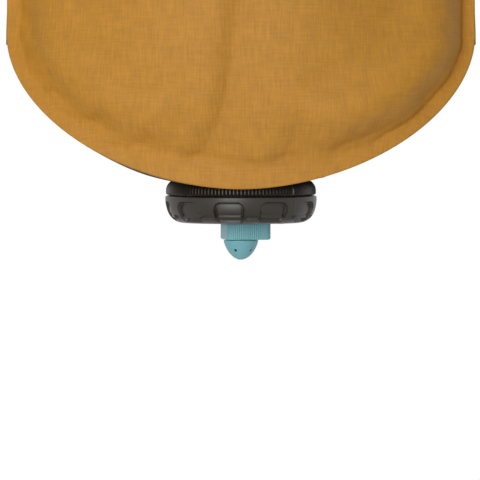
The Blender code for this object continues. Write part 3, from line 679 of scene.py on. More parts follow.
def coated_fabric(name, colour, sheen_colour, pitch):
    """Tightly woven cloth under a thin coat: streaky threads both ways, a fine weave and soft mottling.

    A painted sheen makes the coat paler along the panel's middle, where the cloth bulges most.
    """
    graph = Graph(name, 0.55, specular=0.35)
    x = graph.split(graph.places())[0]
    # Painted sheen: share 1 gives the paler sheen colour on the middle line, falling to the plain
    # colour towards the welds
    wear_and_painted_sheen = 1 - x * x * SHEEN_NARROWNESS
    across, along = graph.cloth()
    upright = graph.noise(graph.vector(across * 1200, along * 75), 1.0, 3.0, 0.65)
    level = graph.noise(graph.vector(across * 70, along * 1000, 7.0), 1.0, 3.0, 0.65)
    blotch = graph.noise(graph.places(), 150, 3.0, 0.6)
    grime = graph.noise(graph.places(), 9, 2.0, 0.5)
    weave = woven(across, along, pitch)
    tone = 0.29 + upright * 0.62 + level * 0.42 + blotch * 0.28 + grime * 0.08 + weave * 0.06
    graph.feed("Base Color", graph.tinted(graph.mixed(wear_and_painted_sheen, colour, sheen_colour), tone))
    graph.feed("Roughness", 0.46 + level * 0.16 + weave * 0.06)
    graph.bump(weave * 0.6 + upright * 0.5 + level * 0.35, 0.00016, 0.7)
    return graph.material


def moulded(name, colour, roughness, grain, scuffs, specular):
    """Moulded plastic: a fine eroded grain, slow changes of gloss and faint rubbed streaks."""
    graph = Graph(name, roughness, specular=specular)
    place = graph.places()
    fine = graph.noise(place, 2600, 2.0, 0.6)
    cloud = graph.noise(place, 70, 3.0, 0.5)
    x, y, z = graph.split(place)
    wear_and_painted_sheen = graph.noise(graph.vector(x * 300, y * 300, z * 1500), 1.0, 3.0, 0.65).step(0.56, 0.75)
    tone = 0.88 + cloud * 0.16 + fine * 0.08 + wear_and_painted_sheen * scuffs
    graph.feed("Base Color", graph.tinted(colour, tone))
    graph.feed("Roughness", roughness - 0.06 + cloud * 0.10 + wear_and_painted_sheen * 0.06)
    graph.bump(fine + cloud * 0.4, 0.00004, grain)
    return graph.material


def rubber(name, colour):
    """Dull seal rubber with a dusty bloom."""
    graph = Graph(name, 0.75, specular=0.3)
    bloom = graph.noise(graph.places(), 240, 4.0, 0.6)
    fine = graph.noise(graph.places(), 3000, 2.0, 0.5)
    graph.feed("Base Color", graph.tinted(colour, 0.75 + bloom * 0.5))
    graph.feed("Roughness", 0.68 + bloom * 0.16)
    graph.bump(fine, 0.00003, 0.5)
    return graph.material


def spring_steel(name, colour):
    """Drawn steel with fine lines along the wire and a few duller spots."""
    graph = Graph(name, 0.3, metallic=1.0)
    place = graph.places()
    x, y, z = graph.split(place)
    drawn = graph.noise(graph.vector(x * 120, y * 120, z * 9000), 1.0, 2.0, 0.5)
    spots = graph.noise(place, 400, 3.0, 0.6).step(0.6, 0.75)
    graph.feed("Base Color", graph.tinted(colour, 0.85 + drawn * 0.2 - spots * 0.12))
    graph.feed("Roughness", 0.24 + drawn * 0.12 + spots * 0.15)
    graph.bump(drawn, 0.00002, 0.4)
    return graph.material


def webbing(name, colour, pitch):
    """Heavy woven tape: a herringbone whose ribs turn at every sixth thread, and hairy light flecks."""
    graph = Graph(name, 0.85, specular=0.12)
    across, along = graph.cloth()
    reach = (across / (pitch * 6)).maths("PINGPONG", 1.0) * (pitch * 6)
    rib = ((along + reach) * (2 * math.pi / (pitch * 2.2))).maths("SINE") * 0.5 + 0.5
    thread = (across * (2 * math.pi / pitch)).maths("SINE").maths("ABSOLUTE")
    fleck = graph.noise(graph.vector(across * 1500, along * 500), 1.0, 3.0, 0.7)
    worn = graph.noise(graph.places(), 60, 3.0, 0.55)
    tone = 0.20 + rib * 0.80 + thread * 0.25 + fleck * 0.6 + worn * 0.25
    graph.feed("Base Color", graph.tinted(colour, tone))
    graph.feed("Roughness", 0.78 + fleck * 0.16)
    graph.bump(rib * 0.7 + thread * 0.4 + fleck * 0.25, 0.0003, 0.8)
    return graph.material


def sewing_thread(name, colour):
    """Twisted thread: slanting plies along each stitch."""
    graph = Graph(name, 0.6, specular=0.35)
    x, y, z = graph.split(graph.places())
    ply = ((x + z * 0.8 + y * 0.5) * 14000).maths("SINE") * 0.5 + 0.5
    fuzz = graph.noise(graph.places(), 2500, 2.0, 0.6)
    graph.feed("Base Color", graph.tinted(colour, 0.7 + ply * 0.3 + fuzz * 0.25))
    graph.feed("Roughness", 0.5 + fuzz * 0.2)
    graph.bump(ply, 0.00005, 0.7)
    return graph.material


def pale_floor(name, colour, reach):
    """A pale floor that keeps the object's shadow and fades to white before its edge."""
    graph = Graph(name, 0.9, specular=0.1)
    x, y = graph.split(graph.places())[:2]
    away = (x * x + y * y).maths("SQRT")
    glow = 0.5 + away.step(reach * 0.4, reach * 0.95) * 0.5
    speck = graph.noise(graph.places(), 40, 2.0, 0.5)
    graph.feed("Base Color", graph.tinted(colour, 0.97 + speck * 0.06))
    tree = graph.tree
    white = tree.nodes.new("ShaderNodeEmission")
    white.inputs["Strength"].default_value = 1.0
    one_or_other(tree, (seen_directly(graph) * glow).socket, graph.shader, white, "Material Output")
    return graph.material


def one_or_other(tree, share, low, high, output):
    """Sends the output one shader at share 0 and another at share 1."""
    mix = tree.nodes.new("ShaderNodeMixShader")
    for socket, source in zip(mix.inputs, (share, low.outputs[0], high.outputs[0]), strict=True):
        tree.links.new(source, socket)
    tree.links.new(mix.outputs[0], tree.nodes[output].inputs["Surface"])


def seen_directly(graph):
    """1 for rays from the camera, from a mirror or through glass, and 0 for the light that falls on
    things."""
    path = graph.tree.nodes.new("ShaderNodeLightPath")
    rays = [Wire(graph, path.outputs[name]) for name in SHOWN_RAYS]
    return (rays[0] + rays[1] + rays[2]).maths("MINIMUM", 1.0)


def seam_depth(height):
    """Y of the weld's middle: in front of the collar at the bottom, on the hanging line further up."""
    rise = np.clip((height - BOTTOM_EDGE) / SEAM_SWEEP, 0, 1)
    return HANG_LINE + (SEAM_FRONT - HANG_LINE) * (1 - rise) ** SEAM_CURVE


def bag_outline(bottom_steps, side_steps, top_steps):
    """Round the weld's outer edge: x, z, the height on the middle line that it faces, and its boxiness.

    Half a slightly pointed ellipse below, two straight sides and a squarish superellipse above.
    """
    turn = np.linspace(-math.pi / 2, math.pi / 2, bottom_steps, endpoint=False)
    climb = np.linspace(LOW_CENTRE, HIGH_CENTRE, side_steps, endpoint=False)
    fall = np.linspace(HIGH_CENTRE, LOW_CENTRE, side_steps, endpoint=False)
    over = np.linspace(0, math.pi, top_steps, endpoint=False)
    rounded = 2 / BOTTOM_SQUARENESS
    squared = 2 / TOP_SQUARENESS
    under = np.sign(np.sin(turn)) * np.abs(np.sin(turn)) ** rounded
    across = np.sign(np.cos(over)) * np.abs(np.cos(over)) ** squared
    upright = np.ones(side_steps)
    x = HALF_WIDTH * np.concatenate([under, upright, across, -upright])
    z_bottom = LOW_CENTRE - BOTTOM_RISE * np.abs(np.cos(turn)) ** rounded
    z_top = HIGH_CENTRE + TOP_RISE * np.abs(np.sin(over)) ** squared
    z = np.concatenate([z_bottom, climb, z_top, fall])
    low = np.full(bottom_steps, LOW_CENTRE)
    high = np.full(top_steps, HIGH_CENTRE)
    facing = np.concatenate([low, climb, high, fall])
    boxy = np.zeros(len(x))
    boxy[:bottom_steps] = smooth(np.cos(turn)) ** 2
    return x, z, facing, boxy


def weld_inner_edge(x, z):
    """The outline drawn in by the weld's width, which grows towards the top."""
    along = np.stack([np.roll(x, -1) - np.roll(x, 1), np.roll(z, -1) - np.roll(z, 1)])
    along /= np.linalg.norm(along, axis=0)
    grow = smooth((z - HIGH_CENTRE) / (TOP_RISE - TOP_WELD_WIDTH))
    width = WELD_WIDTH + (TOP_WELD_WIDTH - WELD_WIDTH) * grow
    return x - along[1] * width, z + along[0] * width


def read_along(length, values, wanted):
    """Each row's values at the wanted lengths along it, by straight lines between its own points."""
    found = (length[:, None, :] <= wanted[:, :, None]).sum(axis=-1) - 1
    found = np.clip(found, 0, length.shape[1] - 2)
    start = np.take_along_axis(length, found, axis=1)
    end = np.take_along_axis(length, found + 1, axis=1)
    share = np.clip((wanted - start) / np.maximum(end - start, 1e-12), 0, 1)
    low = np.take_along_axis(values, found, axis=1)
    high = np.take_along_axis(values, found + 1, axis=1)
    return low + (high - low) * share


def panel_grid(side):
    """One panel before it creases: columns from the weld's outer edge to the middle line.

    side is -1 in front and 1 behind. Each column is a superellipse from the weld to the middle line, a
    lens nearly everywhere and almost a box under the back panel, where it carries the neck. Returned
    with the points are each one's distance from the weld's inner edge and the height on the middle
    line that its column faces.
    """
    x, z, facing, boxy = bag_outline(*PANEL_STEPS)
    inner_x, inner_z = weld_inner_edge(x, z)
    if side < 0:
        boxy = boxy * 0
    depth = FRONT_DEPTH if side < 0 else BACK_DEPTH
    lift = (facing - LOW_CENTRE) / (HIGH_CENTRE - LOW_CENTRE)
    fullness = 1 - (1 - TOP_FULLNESS) * lift**TOP_TAPER
    weld_y = seam_depth(z) + side * GAP / 2
    middle_y = seam_depth(facing) + fullness * (side * depth - seam_depth(facing))
    drop = middle_y - weld_y
    turn = math.pi / 2 * smooth(np.linspace(0, 1, PROFILE_STEPS))[None, :]
    power_along = (LENS_CURVE + (BOX_CURVE_ALONG - LENS_CURVE) * boxy)[:, None]
    power_across = (1 + (BOX_CURVE_ACROSS - 1) * boxy)[:, None]
    out = np.abs(np.cos(turn)) ** (2 / power_along)
    out[:, -1] = 0
    up = np.sin(turn) ** (2 / power_across)
    reach = np.hypot(inner_x, facing - inner_z)[:, None]
    run = np.hypot(np.diff(out) * reach, np.diff(up) * drop[:, None])
    length = np.concatenate([np.zeros((len(x), 1)), np.cumsum(run, axis=1)], axis=1)
    wanted = np.linspace(0, 1, PANEL_ROWS)[None, :] ** ROW_CROWDING * length[:, -1:]
    out = read_along(length, out, wanted)
    up = read_along(length, up, wanted)
    body = np.stack(
        [
            inner_x[:, None] * out,
            weld_y[:, None] + drop[:, None] * up,
            facing[:, None] + (inner_z - facing)[:, None] * out,
        ],
        axis=-1,
    )
    body[:, :, 2] = flattened(body, out, boxy)
    share = np.linspace(0, 1, WELD_ROWS, endpoint=False)[None, :]
    weld = np.stack(
        [
            x[:, None] + (inner_x - x)[:, None] * share,
            np.broadcast_to(weld_y[:, None], (len(x), WELD_ROWS)),
            z[:, None] + (inner_z - z)[:, None] * share,
        ],
        axis=-1,
    )
    points = np.concatenate([weld, body], axis=1)
    steps_in = np.linalg.norm(np.diff(points, axis=1), axis=2)
    along = np.concatenate([np.zeros((len(x), 1)), np.cumsum(steps_in, axis=1)], axis=1)
    along -= along[:, WELD_ROWS : WELD_ROWS + 1]
    return points, along, facing


def flattened(body, out, boxy):
    """The heights of the body's points with the underside pressed flat round the neck.

    The flat fades out towards the weld in front, and behind it up the back's rounded corner.
    """
    radius = np.hypot(body[:, :, 0], body[:, :, 1])
    behind = smooth(1 - body[:, :, 1] / body[:, :1, 1])
    front_fade = np.clip(radius[:, :1] - FLAT_RADIUS, 1e-6, FLAT_FADE)
    fade = front_fade + (FLAT_FADE - front_fade) * behind
    near = 1 - smooth((radius - FLAT_RADIUS) / fade)
    under = smooth((out - CORNER_START) / (CORNER_END - CORNER_START))
    lift = (UNDERSIDE + FABRIC - body[:, :, 2]) * near * under
    return body[:, :, 2] + lift * (boxy[:, None] > 0)


def laid_flat(points, along, facing):
    """Each point's place on the flat cloth: its own distance from the middle line, in its column's
    direction."""
    total = along[:, -1:] - along
    direction = np.stack([points[:, 0, 0], points[:, 0, 2] - facing], axis=1)
    direction /= np.linalg.norm(direction, axis=1)[:, None]
    flat = total[:, :, None] * direction[:, None, :]
    flat[:, :, 1] += facing[:, None]
    return flat


def valleys(x, z, folds):
    """How deep the folds press in: along each smooth line the cloth drops on one side and climbs out
    slowly.

    The drop is a bell of the fold's width on the side that the light comes from, and three times as
    wide on the other. It fades at the line's ends.
    """
    pressed = np.zeros_like(x)
    fade = np.sin(np.linspace(*FOLD_ENDS, FOLD_STEPS) * math.pi) ** 0.8
    for width, depth, places in folds:
        line = curve_through(np.array(places) * MM, FOLD_STEPS)
        way = np.gradient(line, axis=0)
        spacing = np.linalg.norm(way, axis=1)
        way /= spacing[:, None]
        nearest = np.hypot(x[..., None] - line[:, 0], z[..., None] - line[:, 1]).argmin(axis=-1)
        across, up = x - line[nearest, 0], z - line[nearest, 1]
        slide = across * way[nearest, 0] + up * way[nearest, 1]
        slide = np.clip(slide, -spacing[nearest] / 2, spacing[nearest] / 2)
        across, up = across - slide * way[nearest, 0], up - slide * way[nearest, 1]
        from_light = across * LEE_SIDE[0] + up * LEE_SIDE[1]
        lee = smooth(from_light / (2 * width * MM) + 0.35)
        away = np.hypot(across, up) / (width * MM * (1 + 2 * lee))
        strength = np.interp(nearest + slide / spacing[nearest], np.arange(FOLD_STEPS), fade)
        pressed += depth * MM * strength * np.exp(-(away**2))
    return pressed


def puckers(around, along, seed, size):
    """Short creases square to the weld: a few waves of unlike length, strongest a little way in."""
    random = np.random.default_rng(seed)
    total = around[-1] + (around[-1] - around[-2])
    lap = 2 * math.pi * around / total
    raised = np.zeros_like(along)
    for wave in PUCKER_WAVES:
        count = round(total / wave)
        phase = random.uniform(0, 2 * math.pi)
        drift = 0.9 * np.sin(lap * random.integers(3, 9) + random.uniform(0, 6))
        strength = 0.5 + 0.5 * np.sin(lap * random.integers(5, 14) + random.uniform(0, 6))
        ridge = np.sin(count * lap + phase + drift)[:, None]
        fade = smooth(along / (0.35 * wave)) * np.exp(-np.clip(along, 0, None) / (0.75 * wave))
        raised += size * (wave / PUCKER_MAIN_WAVE) ** 0.7 * strength[:, None] * ridge * fade
    return raised


def swell(x, z, seed, size):
    """Slow unevenness of the filled cloth: a sum of broad waves in all directions."""
    random = np.random.default_rng(seed)
    raised = np.zeros_like(x)
    for wave in SWELL_WAVES:
        angle, phase = random.uniform(0, 2 * math.pi, 2)
        travel = (np.cos(angle) * x + np.sin(angle) * z) * 2 * math.pi / wave
        bent = travel + phase + 0.6 * np.sin(travel * 0.37 + angle)
        raised += size * wave / SWELL_MAIN_WAVE * np.sin(bent)
    return raised


def normals_of(points, side):
    """The outward direction at each point: square to its column, in the column's own plane, and
    straight out on the middle line, where the columns meet."""
    sideways = (points[:, :1] - points[:, -1:]) * (1, 0, 1)
    sideways = sideways / np.linalg.norm(sideways, axis=2, keepdims=True)
    inward = np.gradient(points, axis=1)
    run = -(inward * sideways).sum(axis=2, keepdims=True)
    from_middle = ((points - points[:, -1:]) * sideways).sum(axis=2, keepdims=True)
    leaning = inward[:, :, 1:2] * smooth(from_middle / LEAN_REACH)
    normal = side * (leaning * sideways + run * (0, 1, 0))
    normal /= np.linalg.norm(normal, axis=2, keepdims=True)
    normal[:, -1] = (0, side, 0)
    return normal


def creased_panel(side, folds, options, seed):
    """One panel with its folds, puckers and slow unevenness pressed along its own normals.

    Behind, the flat round the neck keeps its form, and the weld slips a little below the front's.
    """
    points, along, facing = panel_grid(side)
    flat = laid_flat(points, along, facing)
    edge = points[:, 0]
    ahead = np.linalg.norm(np.roll(edge, -1, axis=0) - edge, axis=1)
    around = np.cumsum(ahead) - ahead[0]
    points = laid_down(points, along, around, side, options.flat_run, options.ramp)
    if side > 0:
        points = evened(points, along, around, EVENING_REACH)
    x, z = (points[:, :, 0], points[:, :, 2]) if side < 0 else (flat[:, :, 0], flat[:, :, 1])
    raised = swell(x, z, seed, options.unevenness) * smooth(along / FORM_REACH)
    to_middle = smooth((along[:, -1:] - along) / FORM_REACH)
    calmer = 1 - 0.7 * bell(edge[:, :1], FORM_REACH)
    raised += puckers(around, along, seed + 1, options.pucker_depth) * to_middle * calmer
    raised -= valleys(x, z, folds) * smooth(along / FOLD_REACH) * options.fold_strength
    raised += shoulder(points, along, side) * options.shoulder
    if side > 0:
        radius = np.hypot(points[:, :, 0], points[:, :, 1])
        below = points[:, :, 2] < LOW_CENTRE
        raised *= np.where(below, rising(radius, FLAT_RADIUS, NECK_CALM_REACH), 1)
        slip = WELD_SLIP * bell(edge[:, :1] - WELD_SLIP_X, WELD_SLIP_REACH) * (edge[:, 2:] < LOW_CENTRE)
        points[:, :, 2] -= slip * np.clip(-along / WELD_WIDTH, 0, 1)
    normal = normals_of(points, side)
    return closed_middle(points + normal * raised[:, :, None]), flat


def shoulder(points, along, side):
    """The extra fullness in from the weld, most on the sides, none under the back, and broader low down
    at the front's right, where the water has pushed the cloth out further.

    Its height is a bell about a line beside the weld, from 0 on the weld itself.
    """
    x, z = points[:, :1, 0], points[:, :1, 2]
    wide = rising(np.abs(x), *SHOULDER_SIDES)
    right = smooth(x / SHOULDER_RIGHT_X) * (1 - rising(z, *SHOULDER_RIGHT_TOP)) * (side < 0)
    if side > 0:
        wide = wide * rising(z, *SHOULDER_BACK_START)
    height = wide * (1 + SHOULDER_RIGHT_GAIN * right) * smooth(along / SHOULDER_FOOT)
    return height * bell(along - SHOULDER_CREST, SHOULDER_REACH + SHOULDER_RIGHT_REACH * right)


def eased(distance):
    """The distance where it is above 0, and nearly 0 below, with a bend of about 1 mm between."""
    return (distance + np.hypot(distance, MM)) / 2


def laid_down(points, along, around, side, flat_run, ramp):
    """The points with the cloth beside the weld laid flat, in scallops, before it climbs straight up a
    ramp.

    Without it each column would stand up square to the weld at once. At the front's bottom the cloth
    leaves the weld more softly still. The back keeps its own form low down, where it is a box.
    """
    lap = 2 * math.pi * around / around[-1]
    waves = np.sin(SCALLOPS * lap + 1.1 * np.sin(5 * lap))
    x, z = points[:, :1, 0], points[:, :1, 2]
    inward = np.clip(along + FLAT_START, 0, None) if side < 0 else np.clip(along, 0, None)
    start = (flat_run * (0.2 + 2.0 * np.abs(waves)))[:, None]
    if side < 0:
        lower = 1 - rising(z, *LONG_RAMP_TOP)
        ramp = ramp + LONG_RAMP * bell(x - LONG_RAMP_X, LONG_RAMP_REACH) * lower
    ramp = np.broadcast_to(ramp, (len(points), 1))
    rise = points[:, :, 1] - points[:, :1, 1]
    foot = eased(-start)
    top = read_along(along, rise, ramp)
    climb = (eased(inward - start) - foot) / (eased(ramp - start) - foot) * top
    own = smooth(inward / (1.3 * ramp))
    lowered = rise * own + climb * (1 - own)
    if side > 0:
        keep = 1 - rising(z, *BACK_BOX_TOP)
        lowered += (rise - lowered) * keep
    else:
        low = bell(x, SOFT_FOOT_X) * (1 - rising(z, *SOFT_FOOT_TOP))
        lowered += (rise * smooth(inward / SOFT_FOOT) - lowered) * low
    points = points.copy()
    points[:, :, 1] = points[:, :1, 1] + lowered
    return points


def evened(points, along, around, reach):
    """The back's depths evened out along the weld, where its boxy underside meets its rounded sides.

    Each row's Y becomes its own average over the columns near by, weighted by a bell of the reach.
    """
    spacing = np.gradient(around)
    apart = np.abs(around[:, None] - around[None, :])
    total = around[-1] + spacing[-1]
    share = bell(np.minimum(apart, total - apart), reach) * spacing
    average = share @ points[:, :, 1] / share.sum(axis=1, keepdims=True)
    near = bell(points[:, :1, 2] - LOW_CENTRE, EVENING_HEIGHT) * smooth(along / EVENING_START)
    near *= smooth((along[:, -1:] - along) / FORM_REACH)
    points = points.copy()
    points[:, :, 1] += (average - points[:, :, 1]) * near
    return points


def closed_middle(points):
    """The points with the two sides' last rows made one, so that no crack runs down the middle line."""
    bottom, side, top = PANEL_STEPS
    left = bottom + side + top
    right_up = np.arange(bottom + 1, bottom + side)
    left_up = np.arange(left + side - 1, left, -1)
    last = points[:, -1].copy()
    points[:bottom, -1] = last[:bottom].mean(axis=0)
    points[bottom + side : left, -1] = last[bottom + side : left].mean(axis=0)
    points[right_up, -1] = points[left_up, -1] = (last[right_up] + last[left_up]) / 2
    points[bottom, -1] = points[0, -1]
    points[left, -1] = points[bottom + side, -1]
    return points


def fabric_panel(name, side, folds, options, material, seed):
    """A panel as a thin closed sheet: its inner face is drawn, and the cloth's thickness grows
    outwards."""
    points, flat = creased_panel(side, folds, options, seed)
    cloth = np.concatenate([flat, flat[:1]], axis=0)
    if side > 0:
        points, cloth = points[:, ::-1], cloth[:, ::-1]
    mesh = surface(points, close_rows=True, cloth=cloth)
    cleaned(mesh, turn_out=False, merge=2e-6)
    made = placed(name, mesh, material, sharp=0)
    wall = made.modifiers.new("cloth", "SOLIDIFY")
    wall.thickness = options.cloth_thickness
    wall.offset = 1
    wall.use_even_offset = False
    evaluated(made)
    return made


def cut_area(made, width, length):
    """The flat cloth's area: one face of the closed sheet, less than the rectangle it is cut from."""
    areas = np.empty(len(made.data.polygons), np.float32)
    made.data.polygons.foreach_get("area", areas)
    return min(float(areas.sum(dtype=float)) / 2, LARGEST_CUT * width * length)


def turns(steps):
    """Angles evenly round the axis, one a row."""
    return np.linspace(0, 2 * math.pi, steps, endpoint=False)[:, None]


def ringed(radius, height, closed=True):
    """A mesh of points on rings about the axis, from a grid of radii with one row for each angle, and
    the heights that belong to it. closed joins the rings' first and last columns."""
    angle = turns(len(radius))
    points = np.stack(
        [np.cos(angle) * radius, np.sin(angle) * radius, np.broadcast_to(height, radius.shape)], axis=-1
    )
    return cleaned(surface(points, close_rows=True, close_columns=closed))


def collar(options):
    """The ribbed collar: a rounded section carried round the axis, with ribs between hollows.

    Each rib is a narrow bell across its own share of the circle, and it fades out over the shoulder.
    """
    low, high = RIM_GAP, RING_HIGH
    inner = NECK_RADIUS + GAP
    shoulder_middle = (RING_RADIUS - RING_ROUND, high - RING_ROUND)
    foot, *bevel, side_foot = ((RING_RADIUS - inward, low + up) for inward, up in RING_LOW_EDGE)
    section = np.vstack(
        [
            between((inner, low), foot, 4),
            between(*bevel, 3),
            between(side_foot, (RING_RADIUS, high - RING_ROUND), 4),
            corner(shoulder_middle, RING_ROUND, 0, 90, 14),
            runs(((RING_RADIUS - RING_ROUND, high), (inner, high), (inner, low)), (3, 3)),
        ]
    )
    steps = options.rib_count * STEPS_A_RIB
    weight = rising(section[:, 0], RING_RADIUS - RIB_INNER_END, RIB_TOP_FADE)
    weight *= rising(section[:, 1], low, RIB_FOOT_FADE)
    share = np.arange(steps)[:, None] * options.rib_count / steps % 1
    hollow = 1 - bell(share - 0.5, options.rib_width)
    for line in MOULD_LINES:
        from_line = np.sin((turns(steps) - line) / 2) * 2 * RING_RADIUS
        hollow *= 1 - 0.9 * bell(from_line, RING_LINE_WIDTH)
    return ringed(section[:, 0] - options.rib_depth * hollow * weight, section[:, 1])


def thread_ridge(angle, height, start, count, rise):
    """How far a screw ridge stands out at each angle and height: a trapezoid about a climbing line.

    start is the line's first angle and height, and count its number of turns.
    """
    raised = np.zeros(np.broadcast(angle, height).shape)
    flank = (THREAD_ROOT - THREAD_CREST) / 2
    for lap in range(-2, 4):
        share = (angle + 2 * math.pi * lap - start[0]) / (2 * math.pi * count)
        middle = start[1] + THREAD_LEAD * count * share
        profile = np.clip((THREAD_ROOT / 2 - np.abs(height - middle)) / flank, 0, 1)
        ends = smooth(share / THREAD_RUN_OUT) * smooth((1 - share) / THREAD_RUN_OUT)
        raised = np.maximum(raised, rise * profile * ends)
    return raised


def neck_tube():
    """The moulded neck: a section carried round the axis, its thread raised on the outer wall."""
    low, top = -NECK_BELOW_RIM, NECK_TOP[2]
    flange_low = top - FLANGE
    edge = NECK_EDGE
    section = np.vstack(
        [
            corner((NECK_BORE + edge, low + edge), edge, 180, 270, 4),
            between((NECK_BORE + edge, low), (NECK_RADIUS - edge, low), 3),
            corner((NECK_RADIUS - edge, low + edge), edge, 270, 360, 4),
            between((NECK_RADIUS, low + edge), (NECK_RADIUS, RIM_GAP), 44),
            between((NECK_RADIUS, RIM_GAP), (NECK_RADIUS, flange_low), 6),
            between((NECK_RADIUS, flange_low), (FLANGE_RADIUS - edge, flange_low), 4),
            corner((FLANGE_RADIUS - edge, flange_low + edge), edge, 270, 360, 4),
            corner((FLANGE_RADIUS - edge, top - edge), edge, 0, 90, 4),
            between((FLANGE_RADIUS - edge, top), (NECK_BORE + edge, top), 5),
            corner((NECK_BORE + edge, top - edge), edge, 90, 180, 4),
            between((NECK_BORE, top - edge), (NECK_BORE, low + edge), 8),
        ]
    )
    wall = (section[:, 0] > NECK_RADIUS - 1e-7) & (section[:, 1] < RIM_GAP)
    start = (0, NECK_THREAD_START - NECK_BELOW_RIM)
    ridge = thread_ridge(turns(NECK_STEPS), section[None, :, 1], start, NECK_THREAD_TURNS, THREAD_RISE)
    return ringed(section[:, 0] + ridge * wall, section[:, 1])


def cap_side(height):
    """The cap's outer radius at a height below its rim: upright at the rim, rounding in to the flat."""
    share = np.clip(-height / CAP_HEIGHT, 0, 1)
    out = (1 - share**CAP_CURVE_DOWN) ** CAP_CURVE_OUT
    return CAP_FLAT_RADIUS + (CAP_RADIUS - CAP_FLAT_RADIUS) * out


def inside_box(across, height, half_width, low, high, low_corner, high_corner):
    """How far a place is inside a rounded rectangle; it is negative outside."""
    middle = (low + high) / 2
    radius = np.where(height > middle, high_corner, low_corner)
    x = np.abs(across) - half_width + radius
    y = np.abs(height - middle) - (high - low) / 2 + radius
    outside = np.hypot(np.clip(x, 0, None), np.clip(y, 0, None))
    return radius - outside - np.minimum(np.maximum(x, y), 0)


def cap_hollows(angle, height, options):
    """How deep the cap's side is pressed in: ten finger recesses, and ten slots between them.

    Each recess is a rounded rectangle with a groove inside its upper edge. Its floor tilts, deeper at
    the top, and has a dip with a ledge under it.
    """
    pitch = 2 * math.pi / SCALLOP_COUNT
    turn = (angle - SCALLOP_PHASE + math.pi / 2 + pitch / 2) % pitch - pitch / 2
    inside = inside_box(
        turn * CAP_RADIUS, height, SCALLOP_WIDTH / 2, SCALLOP_LOW, SCALLOP_TOP,
        SCALLOP_LOW_CORNER, options.scallop_corner,
    )
    pressed = SCALLOP_DEPTH * smooth(inside / SCALLOP_WALL)
    upper = rising(height, *GROOVE_LOW_END) * (0.55 + 0.45 * rising(height, *GROOVE_ARCH))
    pressed += options.scallop_groove * bell(inside - GROOVE_INSET, GROOVE_WIDTH) * (inside > 0) * upper
    floor = rising(inside, GROOVE_INSET, FLOOR_FADE)
    pressed += floor * FLOOR_TILT * np.clip((height - FLOOR_MIDDLE) / FLOOR_TILT_REACH, -1, 1)
    pressed += floor * FLOOR_DIP * bell(height - FLOOR_DIP_HEIGHT, FLOOR_LINE_WIDTH)
    pressed -= floor * FLOOR_LEDGE * bell(height - FLOOR_LEDGE_HEIGHT, FLOOR_LINE_WIDTH)
    land = (turn + pitch) % pitch - pitch / 2
    slot = inside_box(
        land * CAP_RADIUS, height, SLOT_WIDTH / 2, SLOT_LOW, SLOT_TOP, SLOT_CORNER, SLOT_CORNER
    )
    return pressed + SLOT_DEPTH * smooth(slot / SLOT_WALL)


def cap_side_line():
    """The cap's outer side as places of radius and height, even along its length."""
    height = -CAP_CHAMFER - (CAP_HEIGHT - CAP_CHAMFER) * np.linspace(0, 1, CAP_SIDE_FINENESS) ** 0.8
    side = np.stack([cap_side(height), height], axis=1)
    return evenly(side, np.linspace(0, run_along(side)[-1], CAP_SIDE_ROWS))


def cap_shell(options):
    """The whole cap as one closed section round the axis, pressed in or raised by what varies round it.

    The section runs down the outer side, in under the floor, up the stem's hole and the boss, out over
    the floor and up the threaded wall. Under the floor is the groove that the knob's lug travels in.
    """
    rim, floor, step = CAP_RIM_ROUND, -CAP_HEIGHT, GROOVE_STEP
    groove_outer, groove_inner = STOP_OUTER + GAP, STOP_INNER - GAP
    lead = np.vstack(
        [
            corner((CAP_BORE + rim, -rim), rim, 180, 90, 4),
            between((CAP_BORE + rim, 0), (CAP_RADIUS - CAP_CHAMFER, 0), 3),
            corner((CAP_RADIUS - CAP_CHAMFER, -CAP_CHAMFER), CAP_CHAMFER, 90, 0, 6),
        ]
    )
    side = cap_side_line()
    under = (*CAP_FLOOR_RINGS, groove_outer + step, groove_outer - step)
    under += (groove_inner + step, groove_inner - step)
    inside = (
        (STEM_HOLE, floor), (STEM_HOLE, CAP_FLOOR_TOP), (BOSS_BORE, CAP_FLOOR_TOP),
        (BOSS_BORE, BOSS_TOP), (BOSS_RADIUS, BOSS_TOP), (BOSS_RADIUS, CAP_FLOOR_TOP),
        (CAP_BORE, CAP_FLOOR_TOP), (CAP_BORE, -rim),
    )
    section = np.vstack(
        [
            lead,
            side,
            [(radius, floor) for radius in under],
            runs(inside, (3, 2, 4, 3, 4, 5, CAP_WALL_ROWS)),
        ]
    )
    ahead = np.roll(section, -1, axis=0) - np.roll(section, 1, axis=0)
    ahead /= np.linalg.norm(ahead, axis=1)[:, None]
    angle = turns(options.cap_steps)
    rows = np.arange(len(section))
    outer = (rows >= len(lead)) & (rows < len(lead) + len(side))
    wall = rows >= len(section) - CAP_WALL_ROWS
    hollow = cap_hollows(angle, section[None, :, 1], options) * outer
    for line in MOULD_LINES:
        seam = bell(np.sin((angle - line) / 2) * 2 * CAP_RADIUS, CAP_LINE_WIDTH)
        hollow -= CAP_LINE_HEIGHT * seam * outer * (hollow < 1e-4)
    lap_middle = NECK_THREAD_START - NECK_BELOW_RIM + THREAD_LEAD / 2
    top = -THREAD_ROOT / 2
    last_angle = 2 * math.pi * (top - lap_middle) / THREAD_LEAD
    start = (last_angle - 2 * math.pi * CAP_THREAD_TURNS, top - THREAD_LEAD * CAP_THREAD_TURNS)
    ridge = thread_ridge(angle, section[None, :, 1], start, CAP_THREAD_TURNS, THREAD_RISE - GAP / 2)
    radius = section[None, :, 0] + hollow * ahead[None, :, 1] - ridge * wall
    height = section[None, :, 1] - hollow * ahead[None, :, 0]
    in_groove = (section[:, 0] < groove_outer) & (section[:, 0] > groove_inner)
    in_groove &= section[:, 1] < floor + 1e-6
    reach = VALVE_TRAVEL / 2 + STOP_REACH
    turn = (angle - VALVE_REST - VALVE_TRAVEL / 2 + math.pi) % (2 * math.pi) - math.pi
    open_here = smooth((reach - np.abs(turn)) / GROOVE_END_SLOPE)
    return ringed(radius, height + STOP_DEPTH * open_here * in_groove)


